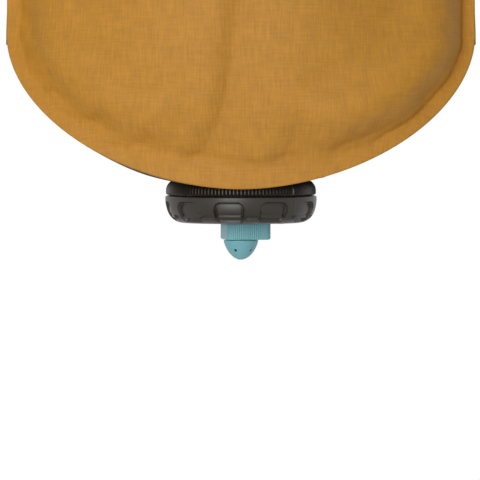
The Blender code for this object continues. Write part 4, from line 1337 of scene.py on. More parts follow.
def knob_plan(inset=0.0):
    """The knob's outline, even along its own length: a rectangle with round corners about the valve's
    axis."""
    low = (inset - KNOB_SHORT_END, inset - KNOB_WIDTH / 2)
    high = (KNOB_LONG_END - inset, KNOB_WIDTH / 2 - inset)
    radius = KNOB_CORNER - inset
    line = []
    for x, y, start in ((high[0], low[1], -90), (*high, 0), (low[0], high[1], 90), (*low, 180)):
        middle = (x - math.copysign(radius, x), y - math.copysign(radius, y))
        past = 90 / KNOB_CORNER_STEPS
        line.append(corner(middle, radius, start, start + 90 + past, KNOB_CORNER_STEPS + 1))
    closed = np.vstack([*line, line[0][:1]])
    return evenly(closed, np.linspace(0, run_along(closed)[-1], KNOB_STEPS, endpoint=False))


def knob_block(options):
    """The turning block as rings from its bore, over the top, down the ribbed side and back under.

    The ribs are narrow arches across the two long faces that die out above, below and at the corners.
    """
    plan = knob_plan()
    angle = np.arctan2(plan[:, 1], plan[:, 0])
    circle = np.stack([np.cos(angle), np.sin(angle)], axis=1)
    ahead = np.roll(plan, -1, axis=0) - np.roll(plan, 1, axis=0)
    outward = np.stack([ahead[:, 1], -ahead[:, 0]], axis=1)
    outward /= np.linalg.norm(outward, axis=1)[:, None]
    long_face = rising(np.abs(outward[:, 1]), *RIBBED_FACE)
    wave = np.abs(np.cos(math.pi * plan[:, 0] / options.knob_rib_pitch))
    rib = long_face * (wave**0.8 - 1.0) * options.knob_rib_depth
    rings = []

    def ring(points, height):
        """Adds a ring at one height."""
        rings.append(np.column_stack([points, np.full(KNOB_STEPS, height)]))

    def side_ring(height, inset, strength):
        """Adds a ring round the block, drawn in by the inset, with a share of the ribs."""
        ring(knob_plan(inset) + outward * (rib * strength)[:, None], height)

    mouth = circle * (STEM_HOLE + KNOB_LIP)
    ring(circle * STEM_BORE, KNOB_SEAT)
    ring(circle * STEM_HOLE, KNOB_SEAT)
    ring(circle * STEM_HOLE, KNOB_TOP - KNOB_LIP)
    ring(mouth, KNOB_TOP)
    for share in (0.35, 0.7):
        ring(mouth * (1 - share) + knob_plan(KNOB_TOP_EDGE[0][1]) * share, KNOB_TOP)
    for down, inset, strength in KNOB_TOP_EDGE:
        side_ring(KNOB_TOP - down, inset, strength)
    for height in np.linspace(*KNOB_SIDE, KNOB_SIDE_RINGS):
        side_ring(height, 0.0, 1.0)
    for turn in np.linspace(0, math.pi / 2, 8):
        inset = KNOB_EDGE * (1 - math.cos(turn))
        side_ring(KNOB_LOW + KNOB_EDGE * (1 - math.sin(turn)), inset, math.cos(turn) ** 2)
    foot = circle * (SPIGOT_RADIUS + GAP)
    for share in (0.4, 0.8):
        ring(knob_plan(KNOB_EDGE) * (1 - share) + foot * share, KNOB_LOW)
    ring(foot, KNOB_LOW)
    ring(foot, SPIGOT_TOP + GAP)
    ring(circle * STEM_BORE, SPIGOT_TOP + GAP)
    points = about_axis(np.array(rings).transpose(1, 0, 2), VALVE_REST)
    return cleaned(surface(points, close_rows=True, close_columns=True))


def about_axis(points, angle):
    """The points turned about the closure's axis."""
    cos, sin = math.cos(angle), math.sin(angle)
    return points @ np.array([[cos, -sin, 0], [sin, cos, 0], [0, 0, 1]]).T


def stop_lug():
    """The block on the knob that travels in the cap's groove: a stretch of a flat ring, closed at both
    ends."""
    angle = np.linspace(VALVE_REST - LUG_TURN, VALVE_REST + LUG_TURN, 12)[:, None]
    radius = np.array([LUG_INNER, LUG_OUTER, LUG_OUTER, LUG_INNER])[None, :]
    low, high = KNOB_TOP - LUG_ROOT, KNOB_TOP + STOP_DEPTH
    height = np.broadcast_to(np.array([low, low, high, high]), (len(angle), 4))
    points = np.stack([np.cos(angle) * radius, np.sin(angle) * radius, height], axis=-1)
    ends = [np.broadcast_to(points[k].mean(axis=0), (1, 4, 3)) for k in (0, -1)]
    return cleaned(surface(np.concatenate([ends[0], points, ends[1]]), close_columns=True))


def rod(start, end, radius, steps=20):
    """A closed round bar between two points, for cutting a hole."""
    start, end = np.asarray(start, float), np.asarray(end, float)
    along = (end - start) / np.linalg.norm(end - start)
    across = np.cross(along, OFF_EVERY_AXIS)
    across /= np.linalg.norm(across)
    up = np.cross(along, across)
    angle = turns(steps)
    ring = (np.cos(angle) * across + np.sin(angle) * up) * radius
    points = np.stack([start + ring * 0, start + ring, end + ring, end + ring * 0])
    return cleaned(surface(points, close_columns=True))


def rose_side(share):
    """The rose's outer radius, as a share of its length down from the knob."""
    return ROSE_RADIUS * np.sqrt(np.clip(1 - share**ROSE_CURVE, 0, 1))


def rose_shell():
    """The hollow rose turned about the axis: outer side, chamber and the spigot up into the knob."""
    lip, length = ROSE_LIP, ROSE_TOP - ROSE_LOW
    share = np.sin(np.linspace(0, math.pi / 2, 46))
    side = np.stack([rose_side(share), ROSE_TOP - length * share], axis=1)
    side[-1, 0] = 0
    side = side[side[:, 1] < ROSE_TOP - lip]
    scale = (ROSE_RADIUS - ROSE_WALL) / ROSE_RADIUS
    inside = np.linspace(1, 0, 24)
    chamber_top = ROSE_TOP - ROSE_WALL
    depth = chamber_top - (length - 2 * ROSE_WALL) * inside
    chamber = np.stack([rose_side(inside) * scale, depth], axis=1)
    chamber[0, 0] = 0
    edge = rose_side(lip / length)
    spigot = (
        (STEM_BORE, chamber_top), (STEM_BORE, SPIGOT_TOP), (SPIGOT_RADIUS, SPIGOT_TOP),
        (SPIGOT_RADIUS, ROSE_TOP), (edge - lip, ROSE_TOP),
    )
    section = np.vstack(
        [
            chamber,
            runs(spigot, (3, 2, 3, 3)),
            corner((edge - lip, ROSE_TOP - lip), lip, 90, 0, 5),
            side,
        ]
    )
    radius = np.broadcast_to(section[:, 0], (ROSE_STEPS, len(section)))
    return ringed(radius, section[:, 1], closed=False)


def jet_drills():
    """Bars for the rose's jets: five round its side, each with a slanting mouth, and three through its
    tip."""
    length = ROSE_TOP - ROSE_LOW
    height = ROSE_TOP - length * SIDE_JET_HEIGHT
    side = rose_side(SIDE_JET_HEIGHT)
    drills = []
    for angle in SIDE_JET_PHASE + turns(SIDE_JETS)[:, 0]:
        way = np.array([math.cos(angle), math.sin(angle), 0])
        bore = way * JET_START + (0, 0, height), way * (ROSE_RADIUS + ROSE_WALL) + (0, 0, height)
        mouth = (
            way * (side - MOUTH_DEPTH) + (0, 0, height - MOUTH_DROP[0]),
            way * (side + MOUTH_REACH) + (0, 0, height - MOUTH_DROP[1]),
        )
        drills += [rod(*bore, JET_RADIUS), rod(*mouth, JET_RADIUS * MOUTH_WIDENING)]
    for angle in turns(TIP_JETS)[:, 0]:
        x, y = math.cos(angle) * TIP_JET_OFFSET, math.sin(angle) * TIP_JET_OFFSET
        drills.append(rod((x, y, ROSE_LOW + TIP_JET_START), (x, y, ROSE_TOP - length / 2), JET_RADIUS))
    return drills


def tape_section(width, thickness, across_steps=14, edge_steps=5):
    """A flat tape's outline: flat faces and rounded selvedges, anticlockwise."""
    radius = thickness / 2
    flat = width / 2 - radius
    right = corner((flat, 0), radius, -90, 90, 2 * edge_steps)
    left = corner((-flat, 0), radius, 90, 270, 2 * edge_steps)
    top = between((flat, radius), (-flat, radius), across_steps)
    low = between((-flat, -radius), (flat, -radius), across_steps)
    return np.vstack([right, top, left, low])


def tape_cloth(section, length):
    """A tape's places on flat webbing: round its section and along its length."""
    girth = run_along(np.vstack([section, section[:1]]))
    return np.stack(np.broadcast_arrays(girth[None, :], length[:, None]), axis=-1)


def tape(path, across, thick, section):
    """Webbing: the section carried along a path, drawn in to a close at both ends.

    Each point is the path's plus its width along across and its thickness along thick.
    """
    wide, high = section[None, :, :1], section[None, :, 1:]
    points = path[:, None] + across[:, None] * wide + thick[:, None] * high
    first = (path[0] - path[1]) / np.linalg.norm(path[0] - path[1])
    last = (path[-1] - path[-2]) / np.linalg.norm(path[-1] - path[-2])
    shrink, out = (np.array(column)[:, None, None] for column in zip(*TAPE_END_ROUNDING, strict=True))
    ends = [
        middle + (ring - middle) * shrink + way * TAPE_END * out
        for middle, ring, way in ((path[0], points[0], first), (path[-1], points[-1], last))
    ]
    points = np.concatenate([ends[0][::-1], points, ends[1]])
    length, past = run_along(path), TAPE_END * out.ravel()
    length = np.concatenate([-past[::-1], length, length[-1] + past])
    return cleaned(surface(points, close_columns=True, cloth=tape_cloth(section, length)))


def stitches(middles, ways, ups, length, radius):
    """Many stitches in one mesh: each is a short capsule that dips into the cloth at both ends."""
    ways = ways / np.linalg.norm(ways, axis=1)[:, None]
    ups = ups / np.linalg.norm(ups, axis=1)[:, None]
    sides = np.cross(ups, ways)
    along = np.linspace(0, 1, STITCH_STEPS)
    girth = np.sin(math.pi * (0.06 + 0.88 * along)) ** 0.5
    girth[[0, -1]] = 0
    lift = radius * (1.5 * np.sin(math.pi * along) - 0.6)
    angle = turns(STITCH_STEPS)[None]
    centre = middles[:, None] + ways[:, None] * ((along - 0.5) * length)[None, :, None]
    centre = centre + ups[:, None] * lift[None, :, None]
    round_side = sides[:, None] * np.cos(angle) + ups[:, None] * np.sin(angle)
    points = centre[:, :, None] + round_side[:, None] * (radius * girth)[None, :, None, None]
    faces = quads_of(STITCH_STEPS, STITCH_STEPS, close_columns=True)
    faces = faces[None] + (np.arange(len(middles)) * STITCH_STEPS**2)[:, None, None]
    mesh = bpy.data.meshes.new("stitches")
    mesh.from_pydata((points + SHIFT).reshape(-1, 3).tolist(), [], faces.reshape(-1, 4).tolist())
    return cleaned(mesh)


def strap_path(side):
    """The lash strap's middle line: tacked to the weld at even steps and bowed out between them."""
    height = np.linspace(STRAP_LOW[2], STRAP_HIGH[2], STRAP_STEPS)
    along = np.clip((height - STRAP_LOW[2] - STRAP_TAIL) / STRAP_LOOP, 0, STRAP_LOOPS)
    bow = STRAP_BOW * np.sin(math.pi * along) ** 2
    rest = seam_depth(height) + GAP / 2 + FABRIC + GAP + STRAP_THICKNESS / 2
    path = np.stack([np.full(STRAP_STEPS, side * STRAP_MIDDLE), rest + bow, height], axis=1)
    ahead = np.gradient(path, axis=0)
    ahead /= np.linalg.norm(ahead, axis=1)[:, None]
    across = np.broadcast_to([1.0, 0, 0], path.shape)
    return path, across, np.cross(ahead, across)


def bar_tacks(side, options):
    """Close rows of stitches across the strap at each place where it is tacked down.

    Every second row runs back the other way, and all of them slant a little.
    """
    path, across, thick = strap_path(side)
    tacks = STRAP_LOW[2] + STRAP_TAIL + STRAP_LOOP * np.arange(STRAP_LOOPS + 1)
    rows = np.arange(options.tack_rows)
    height = (tacks[:, None] + (rows - (options.tack_rows - 1) / 2) * TACK_STEP).ravel()
    nearest = np.abs(path[:, 2] - height[:, None]).argmin(axis=1)
    out = thick[nearest] * np.sign(thick[nearest, 1:2])
    middles = path[nearest] + out * STRAP_THICKNESS / 2
    middles[:, 2] += height - path[nearest, 2]
    back_and_forth = np.tile((-1.0) ** rows, len(tacks))[:, None]
    ways = across[nearest] * back_and_forth + (0, 0, TACK_SLANT)
    return stitches(middles, ways, out, TACK_LENGTH, TACK_RADIUS)


def top_height(x):
    """Height of the bag's top edge above a place across it."""
    share = 1 - (np.abs(x) / HALF_WIDTH) ** TOP_SQUARENESS
    return HIGH_CENTRE + TOP_RISE * share ** (1 / TOP_SQUARENESS)


def binding_tape(options):
    """A tape folded over the top weld: a U section that follows the edge, a little drawn in at each
    stitch, with a fine ripple over its faces."""
    inner = GAP / 2 + FABRIC + GAP
    outer = inner + BINDING
    deep, soft, fold = BINDING_DEPTH, BINDING_EDGE, BINDING_FOLD
    slot = (
        (outer - soft, -deep), (inner, -deep), (inner, 0),
        (-inner, 0), (-inner, -deep), (soft - outer, -deep),
    )
    section = np.vstack(
        [
            corner((-outer + soft, -deep + soft), soft, 270, 180, 4),
            between((-outer, -deep + soft), (-outer, BINDING - fold), 22),
            corner((-outer + fold, BINDING - fold), fold, 180, 90, 6),
            between((-outer + fold, BINDING), (outer - fold, BINDING), 4),
            corner((outer - fold, BINDING - fold), fold, 90, 0, 6),
            between((outer, BINDING - fold), (outer, -deep + soft), 22),
            corner((outer - soft, -deep + soft), soft, 0, -90, 4),
            runs(slot, (2, 8, 4, 8, 2)),
        ]
    )
    x = np.linspace(-BINDING_HALF_WIDTH, BINDING_HALF_WIDTH, BINDING_STEPS)[:, None]
    away, down = section[None, :, 0], section[None, :, 1]
    face = smooth((np.abs(away) - inner - soft) / soft) * (down < -0.0005)
    drawn = 0
    for row in BINDING_ROWS:
        near = bell(down + deep - row, STITCH_DRAW_WIDTH)
        drawn = drawn + STITCH_DRAW * near * (1 + 0.5 * np.cos(2 * math.pi * x / options.stitch_pitch))
    ripple = BINDING_RIPPLE * np.sin(2 * math.pi * x / RIPPLE_LENGTH + down * RIPPLE_SLANT)
    y = away - np.sign(away) * face * (drawn + np.abs(ripple))
    height = top_height(x) + GAP + down
    points = np.stack([np.broadcast_to(x, y.shape), HANG_LINE + y, height], axis=-1)
    middle = np.broadcast_to(points.mean(axis=1, keepdims=True), points.shape)
    points = np.concatenate([middle[:1], points, middle[-1:]])
    length = np.concatenate([x[:1], x, x[-1:]])[:, 0]
    return cleaned(surface(points, close_columns=True, cloth=tape_cloth(section, length)))


def binding_stitches(options):
    """Two rows of stitches along the binding, on its front and its back, but not under the handle."""
    outer = GAP / 2 + FABRIC + GAP + BINDING
    pitch = options.stitch_pitch
    count = int((2 * BINDING_HALF_WIDTH - BINDING_END_CLEAR) / pitch)
    x = (np.arange(count) - (count - 1) / 2) * pitch
    slope = np.gradient(top_height(x), x)
    middles, ways, ups = [], [], []
    for facing in (-1, 1):
        for row in BINDING_ROWS:
            height = top_height(x) + GAP - BINDING_DEPTH + row
            y = np.full(count, HANG_LINE + facing * (outer - BINDING_STITCH_SINK))
            middles.append(np.stack([x, y, height], axis=1))
            ways.append(np.stack([np.ones(count), np.zeros(count), slope], axis=1))
            ups.append(np.broadcast_to([0.0, facing, 0.0], (count, 3)))
    middles, ways, ups = (np.concatenate(a) for a in (middles, ways, ups))
    from_end = np.abs(np.abs(middles[:, 0]) - HANDLE_SPAN / 2)
    keep = (from_end >= HANDLE_WIDTH / 2 + HANDLE_CLEAR) | (middles[:, 1] >= HANG_LINE)
    return stitches(middles[keep], ways[keep], ups[keep], pitch * STITCH_SHARE, STITCH_RADIUS)


def handle_path():
    """The handle's middle line: up the left sewn end, round half an ellipse that twists flat at its
    crown, and down the right sewn end. The width turns with the twist."""
    tight = HINGE_HEIGHT - HINGE_RUN
    climb = np.concatenate([
        np.linspace(END_LOW[2] + TAPE_END, tight, 26, endpoint=False),
        np.linspace(tight, HINGE_HEIGHT, 20, endpoint=False),
    ])
    span, rise = HANDLE_SPAN / 2, HANDLE_RISE - GAP / 2
    share = np.linspace(0, 1, HANDLE_STEPS)
    share = share - CROWN_CROWDING * np.sin(4 * math.pi * share) / (2 * math.pi)
    turn = math.pi * share
    zeros = np.zeros(len(turn))
    loop = np.stack([-span * np.cos(turn), zeros, HINGE_HEIGHT + rise * np.sin(turn)], axis=1)
    along = np.stack([span * np.sin(turn), zeros, rise * np.cos(turn)], axis=1)
    along /= np.linalg.norm(along, axis=1)[:, None]
    outward = np.stack([-along[:, 2], zeros, along[:, 0]], axis=1)
    twist = (math.pi / 2 * smooth(1 - np.abs(2 * share - 1)))[:, None]
    width = outward * np.cos(twist) + np.array([0, 1.0, 0]) * np.sin(twist)
    still = np.zeros(len(climb))
    left = np.stack([still - span, still, climb], axis=1)
    right = np.stack([still + span, still, climb[::-1]], axis=1)
    path = np.concatenate([left, loop, right])
    path[:, 1] += HINGE_DEPTH
    across = np.concatenate([
        np.broadcast_to([-1.0, 0, 0], left.shape), width, np.broadcast_to([1.0, 0, 0], right.shape)
    ])
    upright = np.broadcast_to([0, 0, 1.0], left.shape)
    ahead = np.concatenate([upright, along, -upright])
    return path, across, np.cross(ahead, across)


def box_stitches(side, options):
    """The sewn end's square of stitches with its two diagonals."""
    middle = np.array([side * HANDLE_SPAN / 2, (END_LOW[2] + END_HIGH[2]) / 2 - BOX_DROP])
    half = np.array([HANDLE_WIDTH, END_HIGH[2] - END_LOW[2]]) / 2 - BOX_INSET
    corners = middle + half * np.array([(-1, -1), (1, -1), (1, 1), (-1, 1)])
    runs = [(corners[k], corners[(k + 1) % 4]) for k in range(4)]
    runs += [(corners[0], corners[2]), (corners[1], corners[3])]
    y = END_LOW[1] + BOX_STITCH_SINK
    middles, ways = [], []
    for start, end in runs:
        count = round(np.linalg.norm(end - start) / options.stitch_pitch)
        share = (np.arange(count) + 0.5) / count
        places = start + (end - start) * share[:, None]
        middles.append(np.stack([places[:, 0], np.full(count, y), places[:, 1]], axis=1))
        way = np.array([end[0] - start[0], 0, end[1] - start[1]])
        ways.append(np.broadcast_to(way, (count, 3)))
    middles, ways = np.concatenate(middles), np.concatenate(ways)
    ups = np.broadcast_to([0.0, -1.0, 0.0], middles.shape)
    return stitches(middles, ways, ups, options.stitch_pitch * BOX_STITCH_SHARE, BOX_STITCH_RADIUS)


def colour_setting(name, description, default):
    """A colour in the sidebar."""
    return FloatVectorProperty(
        name=name, description=description, subtype="COLOR", size=3, min=0, max=1, default=default
    )


def length_setting(name, description, default, **limits):
    """A length in the sidebar, in metres."""
    return FloatProperty(name=name, description=description, unit="LENGTH", default=default, **limits)


class BagLooks(bpy.types.PropertyGroup):
    """Cloth of the bag's two panels."""

    front_colour: colour_setting("Front colour", "Ochre of the front panel", (0.53, 0.238, 0.0195))
    # Painted sheen: a paler ochre painted along the front's middle
    front_sheen_colour: colour_setting(
        "Front middle", "Paler ochre along the middle of the front panel", (0.53, 0.242, 0.0300)
    )
    back_colour: colour_setting("Back colour", "Dark grey of the back panel", (0.052, 0.052, 0.055))
    # Painted sheen: a paler grey painted along the back's middle
    back_sheen_colour: colour_setting(
        "Back middle", "Paler grey along the middle of the back panel", (0.062, 0.062, 0.065)
    )
    thread_pitch: length_setting(
        "Thread pitch", "Distance between threads of the weave", 0.00065, min=0.0002
    )
    cloth_thickness: length_setting(
        "Cloth thickness", "Thickness of a coated panel", 0.0008, min=0.0002
    )
    fold_strength: FloatProperty(
        name="Folds", description="Share of the folds' full depth", default=1.0, min=0, max=2
    )
    pucker_depth: length_setting(
        "Pucker depth", "Height of the short creases beside the weld", 0.00055, min=0
    )
    unevenness: length_setting(
        "Unevenness", "Height of the slow waves in the filled cloth", 0.00035, min=0
    )
    flat_run: length_setting("Flat run", "How far the cloth lies flat inside the weld", 0.0014, min=0)
    ramp: length_setting("Ramp", "How far in from the weld the cloth climbs evenly", 0.021, min=0.006)
    shoulder: length_setting("Shoulder", "Extra fullness a little way in from the weld", 0.0045, min=0)


class ClosureLooks(bpy.types.PropertyGroup):
    """Collar, cap and valve."""

    black: colour_setting(
        "Black plastic", "Colour of the cap, the collar and the neck", (0.018, 0.0118, 0.0058)
    )
    teal: colour_setting("Teal plastic", "Colour of the valve", (0.182, 0.455, 0.50))
    rib_count: IntProperty(name="Ribs", description="Ribs round the collar", default=124, min=3)
    rib_depth: length_setting("Rib depth", "Height of the collar's ribs", 0.0016, min=0)
    rib_width: FloatProperty(
        name="Rib width", description="A rib's half width as a share of the ribs' spacing",
        default=0.15, min=0.02, max=0.5,
    )
    scallop_corner: length_setting(
        "Recess corner", "Radius of a finger recess at its upper corners", 0.0042, min=0.0005
    )
    scallop_groove: length_setting(
        "Recess groove", "Depth of the line pressed round a finger recess", 0.0004, min=0
    )
    cap_steps: IntProperty(name="Cap steps", description="Fineness round the cap", default=800, min=64)
    knob_rib_pitch: length_setting(
        "Knob rib pitch", "Distance between the knob's ribs", 0.00115, min=0.0003
    )
    knob_rib_depth: length_setting("Knob rib depth", "Depth between the knob's ribs", 0.00028, min=0)


class WebbingLooks(bpy.types.PropertyGroup):
    """Tape, webbing and sewing."""

    tape_colour: colour_setting(
        "Webbing", "Colour of the straps, binding and handle", (0.042, 0.042, 0.045)
    )
    thread_colour: colour_setting("Thread", "Colour of the sewing thread", (0.13, 0.125, 0.12))
    yarn_pitch: length_setting("Yarn pitch", "Distance between the webbing's yarns", 0.0010, min=0.0002)
    stitch_pitch: length_setting("Stitch pitch", "Length of one stitch with its gap", 0.0030, min=0.001)
    tack_rows: IntProperty(name="Tack rows", description="Stitches in one bar tack", default=9, min=3)


class StageLooks(bpy.types.PropertyGroup):
    """Floor, light and camera."""

    camera_distance: length_setting("Camera distance", "From the lens to the bag", 2.5, min=0.3)
    camera_height: FloatProperty(
        name="Camera angle", description="How far the lens looks down on the cap", subtype="ANGLE",
        default=math.radians(1.3),
    )
    view_width: length_setting("View width", "Width of the picture at the bag", 0.2536, min=0.05)
    view_x: length_setting("View middle, x", "Middle of the picture from the axis", -0.0005)
    view_z: length_setting("View middle, z", "Middle of the picture from the cap's rim", -0.0235)
    ambient: FloatProperty(
        name="Ambient", description="Strength of the even light from all round", default=0.27, min=0
    )
    key_power: FloatProperty(
        name="Key light", description="Power of the soft light in front, a little to the left",
        unit="POWER", default=20.5, min=0,
    )
    floor_reach: length_setting("Floor reach", "Radius of the round floor", 0.95, min=0.1)
    floor_drop: length_setting("Floor drop", "From the spray rose down to the floor", 0.30, min=0)


def shared(name, maker, *values):
    """A material that several pieces share, made once."""
    return bpy.data.materials.get(name) or maker(name, *values)


def black_plastic():
    """The finish of the collar, the neck and the cap."""
    colour = tuple(bpy.context.scene.closure_looks.black)
    return shared("cap_plastic", moulded, colour, 0.42, 0.55, 0.3, 0.5)


def teal_plastic():
    """The finish of the knob, the rose and the stem."""
    colour = tuple(bpy.context.scene.closure_looks.teal)
    return shared("valve_plastic", moulded, colour, 0.40, 0.35, 0.04, 0.4)


def tape_finish():
    """The finish of the straps, the binding and the handle."""
    options = bpy.context.scene.webbing_looks
    return shared("woven_tape", webbing, tuple(options.tape_colour), options.yarn_pitch)


def thread_finish():
    """The finish of all the sewing."""
    return shared("sewing_thread", sewing_thread, tuple(bpy.context.scene.webbing_looks.thread_colour))


class WATERBAG_OT_panels(bpy.types.Operator):
    """The ochre front panel and the grey back panel, full of water"""

    bl_idname = "waterbag.panels"
    bl_label = "Fabric panels"

    def execute(self, context):
        bag = context.scene.bag_looks
        pitch = bag.thread_pitch
        ochre = coated_fabric("ochre_cloth", tuple(bag.front_colour), tuple(bag.front_sheen_colour), pitch)
        front = fabric_panel("front_cloth", -1, FRONT_FOLDS, bag, ochre, 11)
        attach(front, "bag")
        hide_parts("front_panel")
        cut_area(front, CLOTH_WIDTH, FRONT_CLOTH_LENGTH)
        grey = coated_fabric("grey_cloth", tuple(bag.back_colour), tuple(bag.back_sheen_colour), pitch)
        back = fabric_panel("back_cloth", 1, BACK_FOLDS, bag, grey, 29)
        low, high = (0, 0, UNDERSIDE - HOLE_REACH), (0, 0, UNDERSIDE + HOLE_REACH)
        combined(back, [helper(rod(low, high, NECK_RADIUS + GAP, HOLE_STEPS))], "DIFFERENCE")
        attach(back, "bag")
        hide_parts("back_panel")
        cut_area(back, CLOTH_WIDTH, BACK_CLOTH_LENGTH)
        return {"FINISHED"}


class WATERBAG_OT_closure(bpy.types.Operator):
    """The ribbed collar, the threaded neck and the screw cap"""

    bl_idname = "waterbag.closure"
    bl_label = "Collar, neck and cap"

    def execute(self, context):
        closure = context.scene.closure_looks
        for name, mesh, node, body, sharp in (
            ("ribbed_collar", collar(closure), "grip_ring", "bag", 50),
            ("threaded_neck", neck_tube(), "neck", "bag", 35),
            ("scalloped_cap", cap_shell(closure), "screw_cap", "cap", 50),
        ):
            made = placed(name, mesh, black_plastic(), sharp)
            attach(made, body)
            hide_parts(node)
        return {"FINISHED"}


class WATERBAG_OT_valve(bpy.types.Operator):
    """The ribbed turning knob and the spray rose with its jets"""

    bl_idname = "waterbag.valve"
    bl_label = "Valve knob and rose"

    def execute(self, context):
        block = knob_block(context.scene.closure_looks)
        knob = placed("ribbed_knob", block, teal_plastic(), 40)
        combined(knob, [helper(stop_lug())], "UNION")
        rose = placed("drilled_rose", rose_shell(), teal_plastic(), 40)
        combined(rose, [helper(drill) for drill in jet_drills()], "DIFFERENCE")
        for made, node in ((knob, "valve_knob"), (rose, "spray_rose")):
            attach(made, "valve")
            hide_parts(node)
        return {"FINISHED"}


class WATERBAG_OT_inner_parts(bpy.types.Operator):
    """Finishes of the stem, the seals, the washer and the clip, which keep the frame's shapes"""

    bl_idname = "waterbag.inner_parts"
    bl_label = "Stem, seals and clip"

    def execute(self, context):
        dark = rubber("seal_rubber", (0.03, 0.03, 0.03))
        steel = spring_steel("spring_steel", (0.6, 0.6, 0.6))
        finishes = dict.fromkeys(
            ("neck_washer", "cap_gasket", "valve_sleeve", "lower_stem_seal", "upper_stem_seal"), dark
        )
        finishes |= {"retaining_clip": steel, "valve_stem": teal_plastic()}
        for name, finish in finishes.items():
            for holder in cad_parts[name].material_slots:
                holder.material = finish
        return {"FINISHED"}


class WATERBAG_OT_lash_straps(bpy.types.Operator):
    """The two rows of webbing loops behind the side welds, with their bar tacks"""

    bl_idname = "waterbag.lash_straps"
    bl_label = "Lash straps"

    def execute(self, context):
        section = tape_section(STRAP_WIDTH, STRAP_THICKNESS)
        for name, side in (("left", -1), ("right", 1)):
            loops = tape(*strap_path(side), section)
            strap = placed(f"{name}_loops", loops, tape_finish())
            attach(strap, "bag")
            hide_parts(f"{name}_lash_strap")
            sewing = bar_tacks(side, context.scene.webbing_looks)
            tacks = placed(f"{name}_bar_tacks", sewing, thread_finish())
            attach(tacks, "bag")
        return {"FINISHED"}


class WATERBAG_OT_top(bpy.types.Operator):
    """The binding over the top weld and the carry handle, with their sewing"""

    bl_idname = "waterbag.top"
    bl_label = "Binding and handle"

    def execute(self, context):
        options = context.scene.webbing_looks
        binding = placed("folded_binding", binding_tape(options), tape_finish(), 50)
        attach(binding, "bag")
        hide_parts("top_binding")
        sewing = placed("binding_sewing", binding_stitches(options), thread_finish())
        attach(sewing, "bag")
        section = tape_section(HANDLE_WIDTH, HANDLE_THICKNESS, 20)
        handle = placed("webbing_handle", tape(*handle_path(), section), tape_finish())
        fold = HINGE_HEIGHT + SHIFT[2]
        fold - FOLD_SLOT
        fold + FOLD_SLOT
        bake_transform(handle)
        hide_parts("carry_handle", "handle_end_left", "handle_end_right")
        for name, side in (("left", -1), ("right", 1)):
            sewing = box_stitches(side, options)
            square = placed(f"{name}_box_stitch", sewing, thread_finish())
            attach(square, "bag")
        return {"FINISHED"}


def studio_world(ambient):
    """Even pale light all round, which the camera, mirrors and glass see as white."""
    world = bpy.data.worlds.new("studio")
    world.use_nodes = True
    bpy.context.scene.world = world
    tree = world.node_tree
    soft = tree.nodes["Background"]
    white = tree.nodes.new("ShaderNodeBackground")
    for light, strength in ((soft, ambient), (white, 1.0)):
        light.inputs["Color"].default_value = (1, 1, 1, 1)
        light.inputs["Strength"].default_value = strength
    path = tree.nodes.new("ShaderNodeLightPath")
    total = path.outputs[SHOWN_RAYS[0]]
    for name in SHOWN_RAYS[1:]:
        either = tree.nodes.new("ShaderNodeMath")
        either.operation = "MAXIMUM"
        tree.links.new(total, either.inputs[0])
        tree.links.new(path.outputs[name], either.inputs[1])
        total = either.outputs[0]
    one_or_other(tree, total, soft, white, "World Output")


def facing(data, place, away):
    """An object for a lamp or a camera at a place, with its back to the direction away."""
    made = bpy.data.objects.new(data.name, data)
    made.location = place
    made.rotation_mode = "QUATERNION"
    made.rotation_quaternion = (-away).to_track_quat("-Z", "Y")
    bpy.context.scene.collection.objects.link(made)
    return made


def soft_lamp(name, azimuth, elevation, distance, power):
    """A square lamp that faces the bag from the given side, with its angles in degrees."""
    azimuth, elevation = math.radians(azimuth), math.radians(elevation)
    lamp = bpy.data.lights.new(name, "AREA")
    lamp.shape = "SQUARE"
    lamp.size = LAMP_SIZE
    lamp.energy = power
    level = math.cos(elevation)
    away = Vector((math.sin(azimuth) * level, -math.cos(azimuth) * level, math.sin(elevation)))
    aim = Vector(SHIFT) + Vector((0, 0, LAMP_AIM))
    facing(lamp, aim + away * distance, away)


def round_floor(stage):
    """A disc under the bag, which keeps its shadow."""
    height = SHIFT[2] + ROSE_LOW - stage.floor_drop
    turn = turns(FLOOR_STEPS)[:, 0]
    rim = stage.floor_reach * np.stack([np.cos(turn), np.sin(turn), 0 * turn], axis=1)
    mesh = bpy.data.meshes.new("floor")
    mesh.from_pydata((rim + (*SHIFT[:2], height)).tolist(), [], [list(range(FLOOR_STEPS))])
    mesh.materials.append(pale_floor("pale_floor", (0.86, 0.86, 0.86), stage.floor_reach))
    floor = bpy.data.objects.new("floor", mesh)
    bpy.context.scene.collection.objects.link(floor)
    return floor


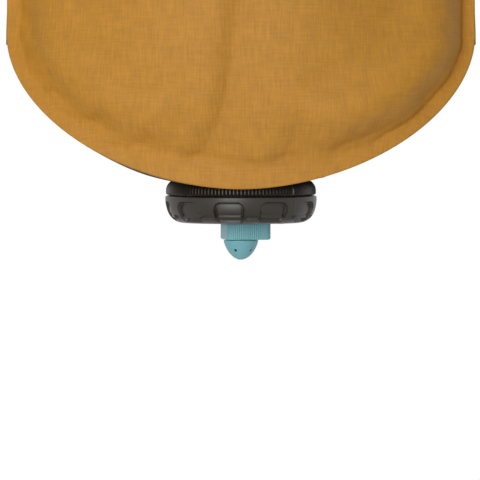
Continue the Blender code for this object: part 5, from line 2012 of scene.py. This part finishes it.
class WATERBAG_OT_stage(bpy.types.Operator):
    """Floor, soft light and the photograph's camera"""

    bl_idname = "waterbag.stage"
    bl_label = "Stage"

    def execute(self, context):
        stage = context.scene.stage_looks
        context.scene.view_settings.view_transform = "Standard"
        studio_world(stage.ambient)
        for name, azimuth, elevation, distance, share in LAMPS:
            soft_lamp(name, azimuth, elevation, distance, stage.key_power * share)
        floor = round_floor(stage)
        aim = Vector(SHIFT) + Vector((stage.view_x, 0, stage.view_z))
        rise = stage.camera_distance * math.tan(stage.camera_height) + SIGHT_HEIGHT
        place = Vector(SHIFT) + Vector((stage.view_x, -stage.camera_distance, rise))
        data = bpy.data.cameras.new("camera")
        data.sensor_width = 36
        data.lens = data.sensor_width * (place - aim).length / stage.view_width
        data.clip_start = 0.05
        data.clip_end = 100
        context.scene.camera = facing(data, place, place - aim)
        return {"FINISHED"}


class WATERBAG_PT_sidebar(bpy.types.Panel):
    """Settings and steps of the water bag"""

    bl_idname = "WATERBAG_PT_sidebar"
    bl_label = "Water bag"
    bl_space_type = "VIEW_3D"
    bl_region_type = "UI"
    bl_category = "Water bag"

    def draw(self, context):
        for name, holder in GROUPS.items():
            box = self.layout.box()
            box.label(text=holder.__doc__)
            for field in holder.__annotations__:
                box.prop(getattr(context.scene, name), field)
        for operator in STEPS:
            self.layout.operator(operator.bl_idname)


GROUPS = {
    "bag_looks": BagLooks,
    "closure_looks": ClosureLooks,
    "webbing_looks": WebbingLooks,
    "stage_looks": StageLooks,
}
STEPS = (
    WATERBAG_OT_panels,
    WATERBAG_OT_closure,
    WATERBAG_OT_valve,
    WATERBAG_OT_inner_parts,
    WATERBAG_OT_lash_straps,
    WATERBAG_OT_top,
    WATERBAG_OT_stage,
)


def register():
    """Adds the settings, the operators and the panel."""
    for holder in (*GROUPS.values(), *STEPS, WATERBAG_PT_sidebar):
        bpy.utils.register_class(holder)
    for name, holder in GROUPS.items():
        setattr(bpy.types.Scene, name, PointerProperty(type=holder))


def unregister():
    """Takes away what register adds."""
    for name in GROUPS:
        delattr(bpy.types.Scene, name)
    for holder in (WATERBAG_PT_sidebar, *STEPS, *GROUPS.values()):
        bpy.utils.unregister_class(holder)


def main():
    """Builds every piece and the stage."""
    register()
    bpy.ops.waterbag.panels()
    bpy.ops.waterbag.closure()
    bpy.ops.waterbag.valve()
    bpy.ops.waterbag.inner_parts()
    bpy.ops.waterbag.lash_straps()
    bpy.ops.waterbag.top()
    bpy.ops.waterbag.stage()


if __name__ == "__main__":
    main()
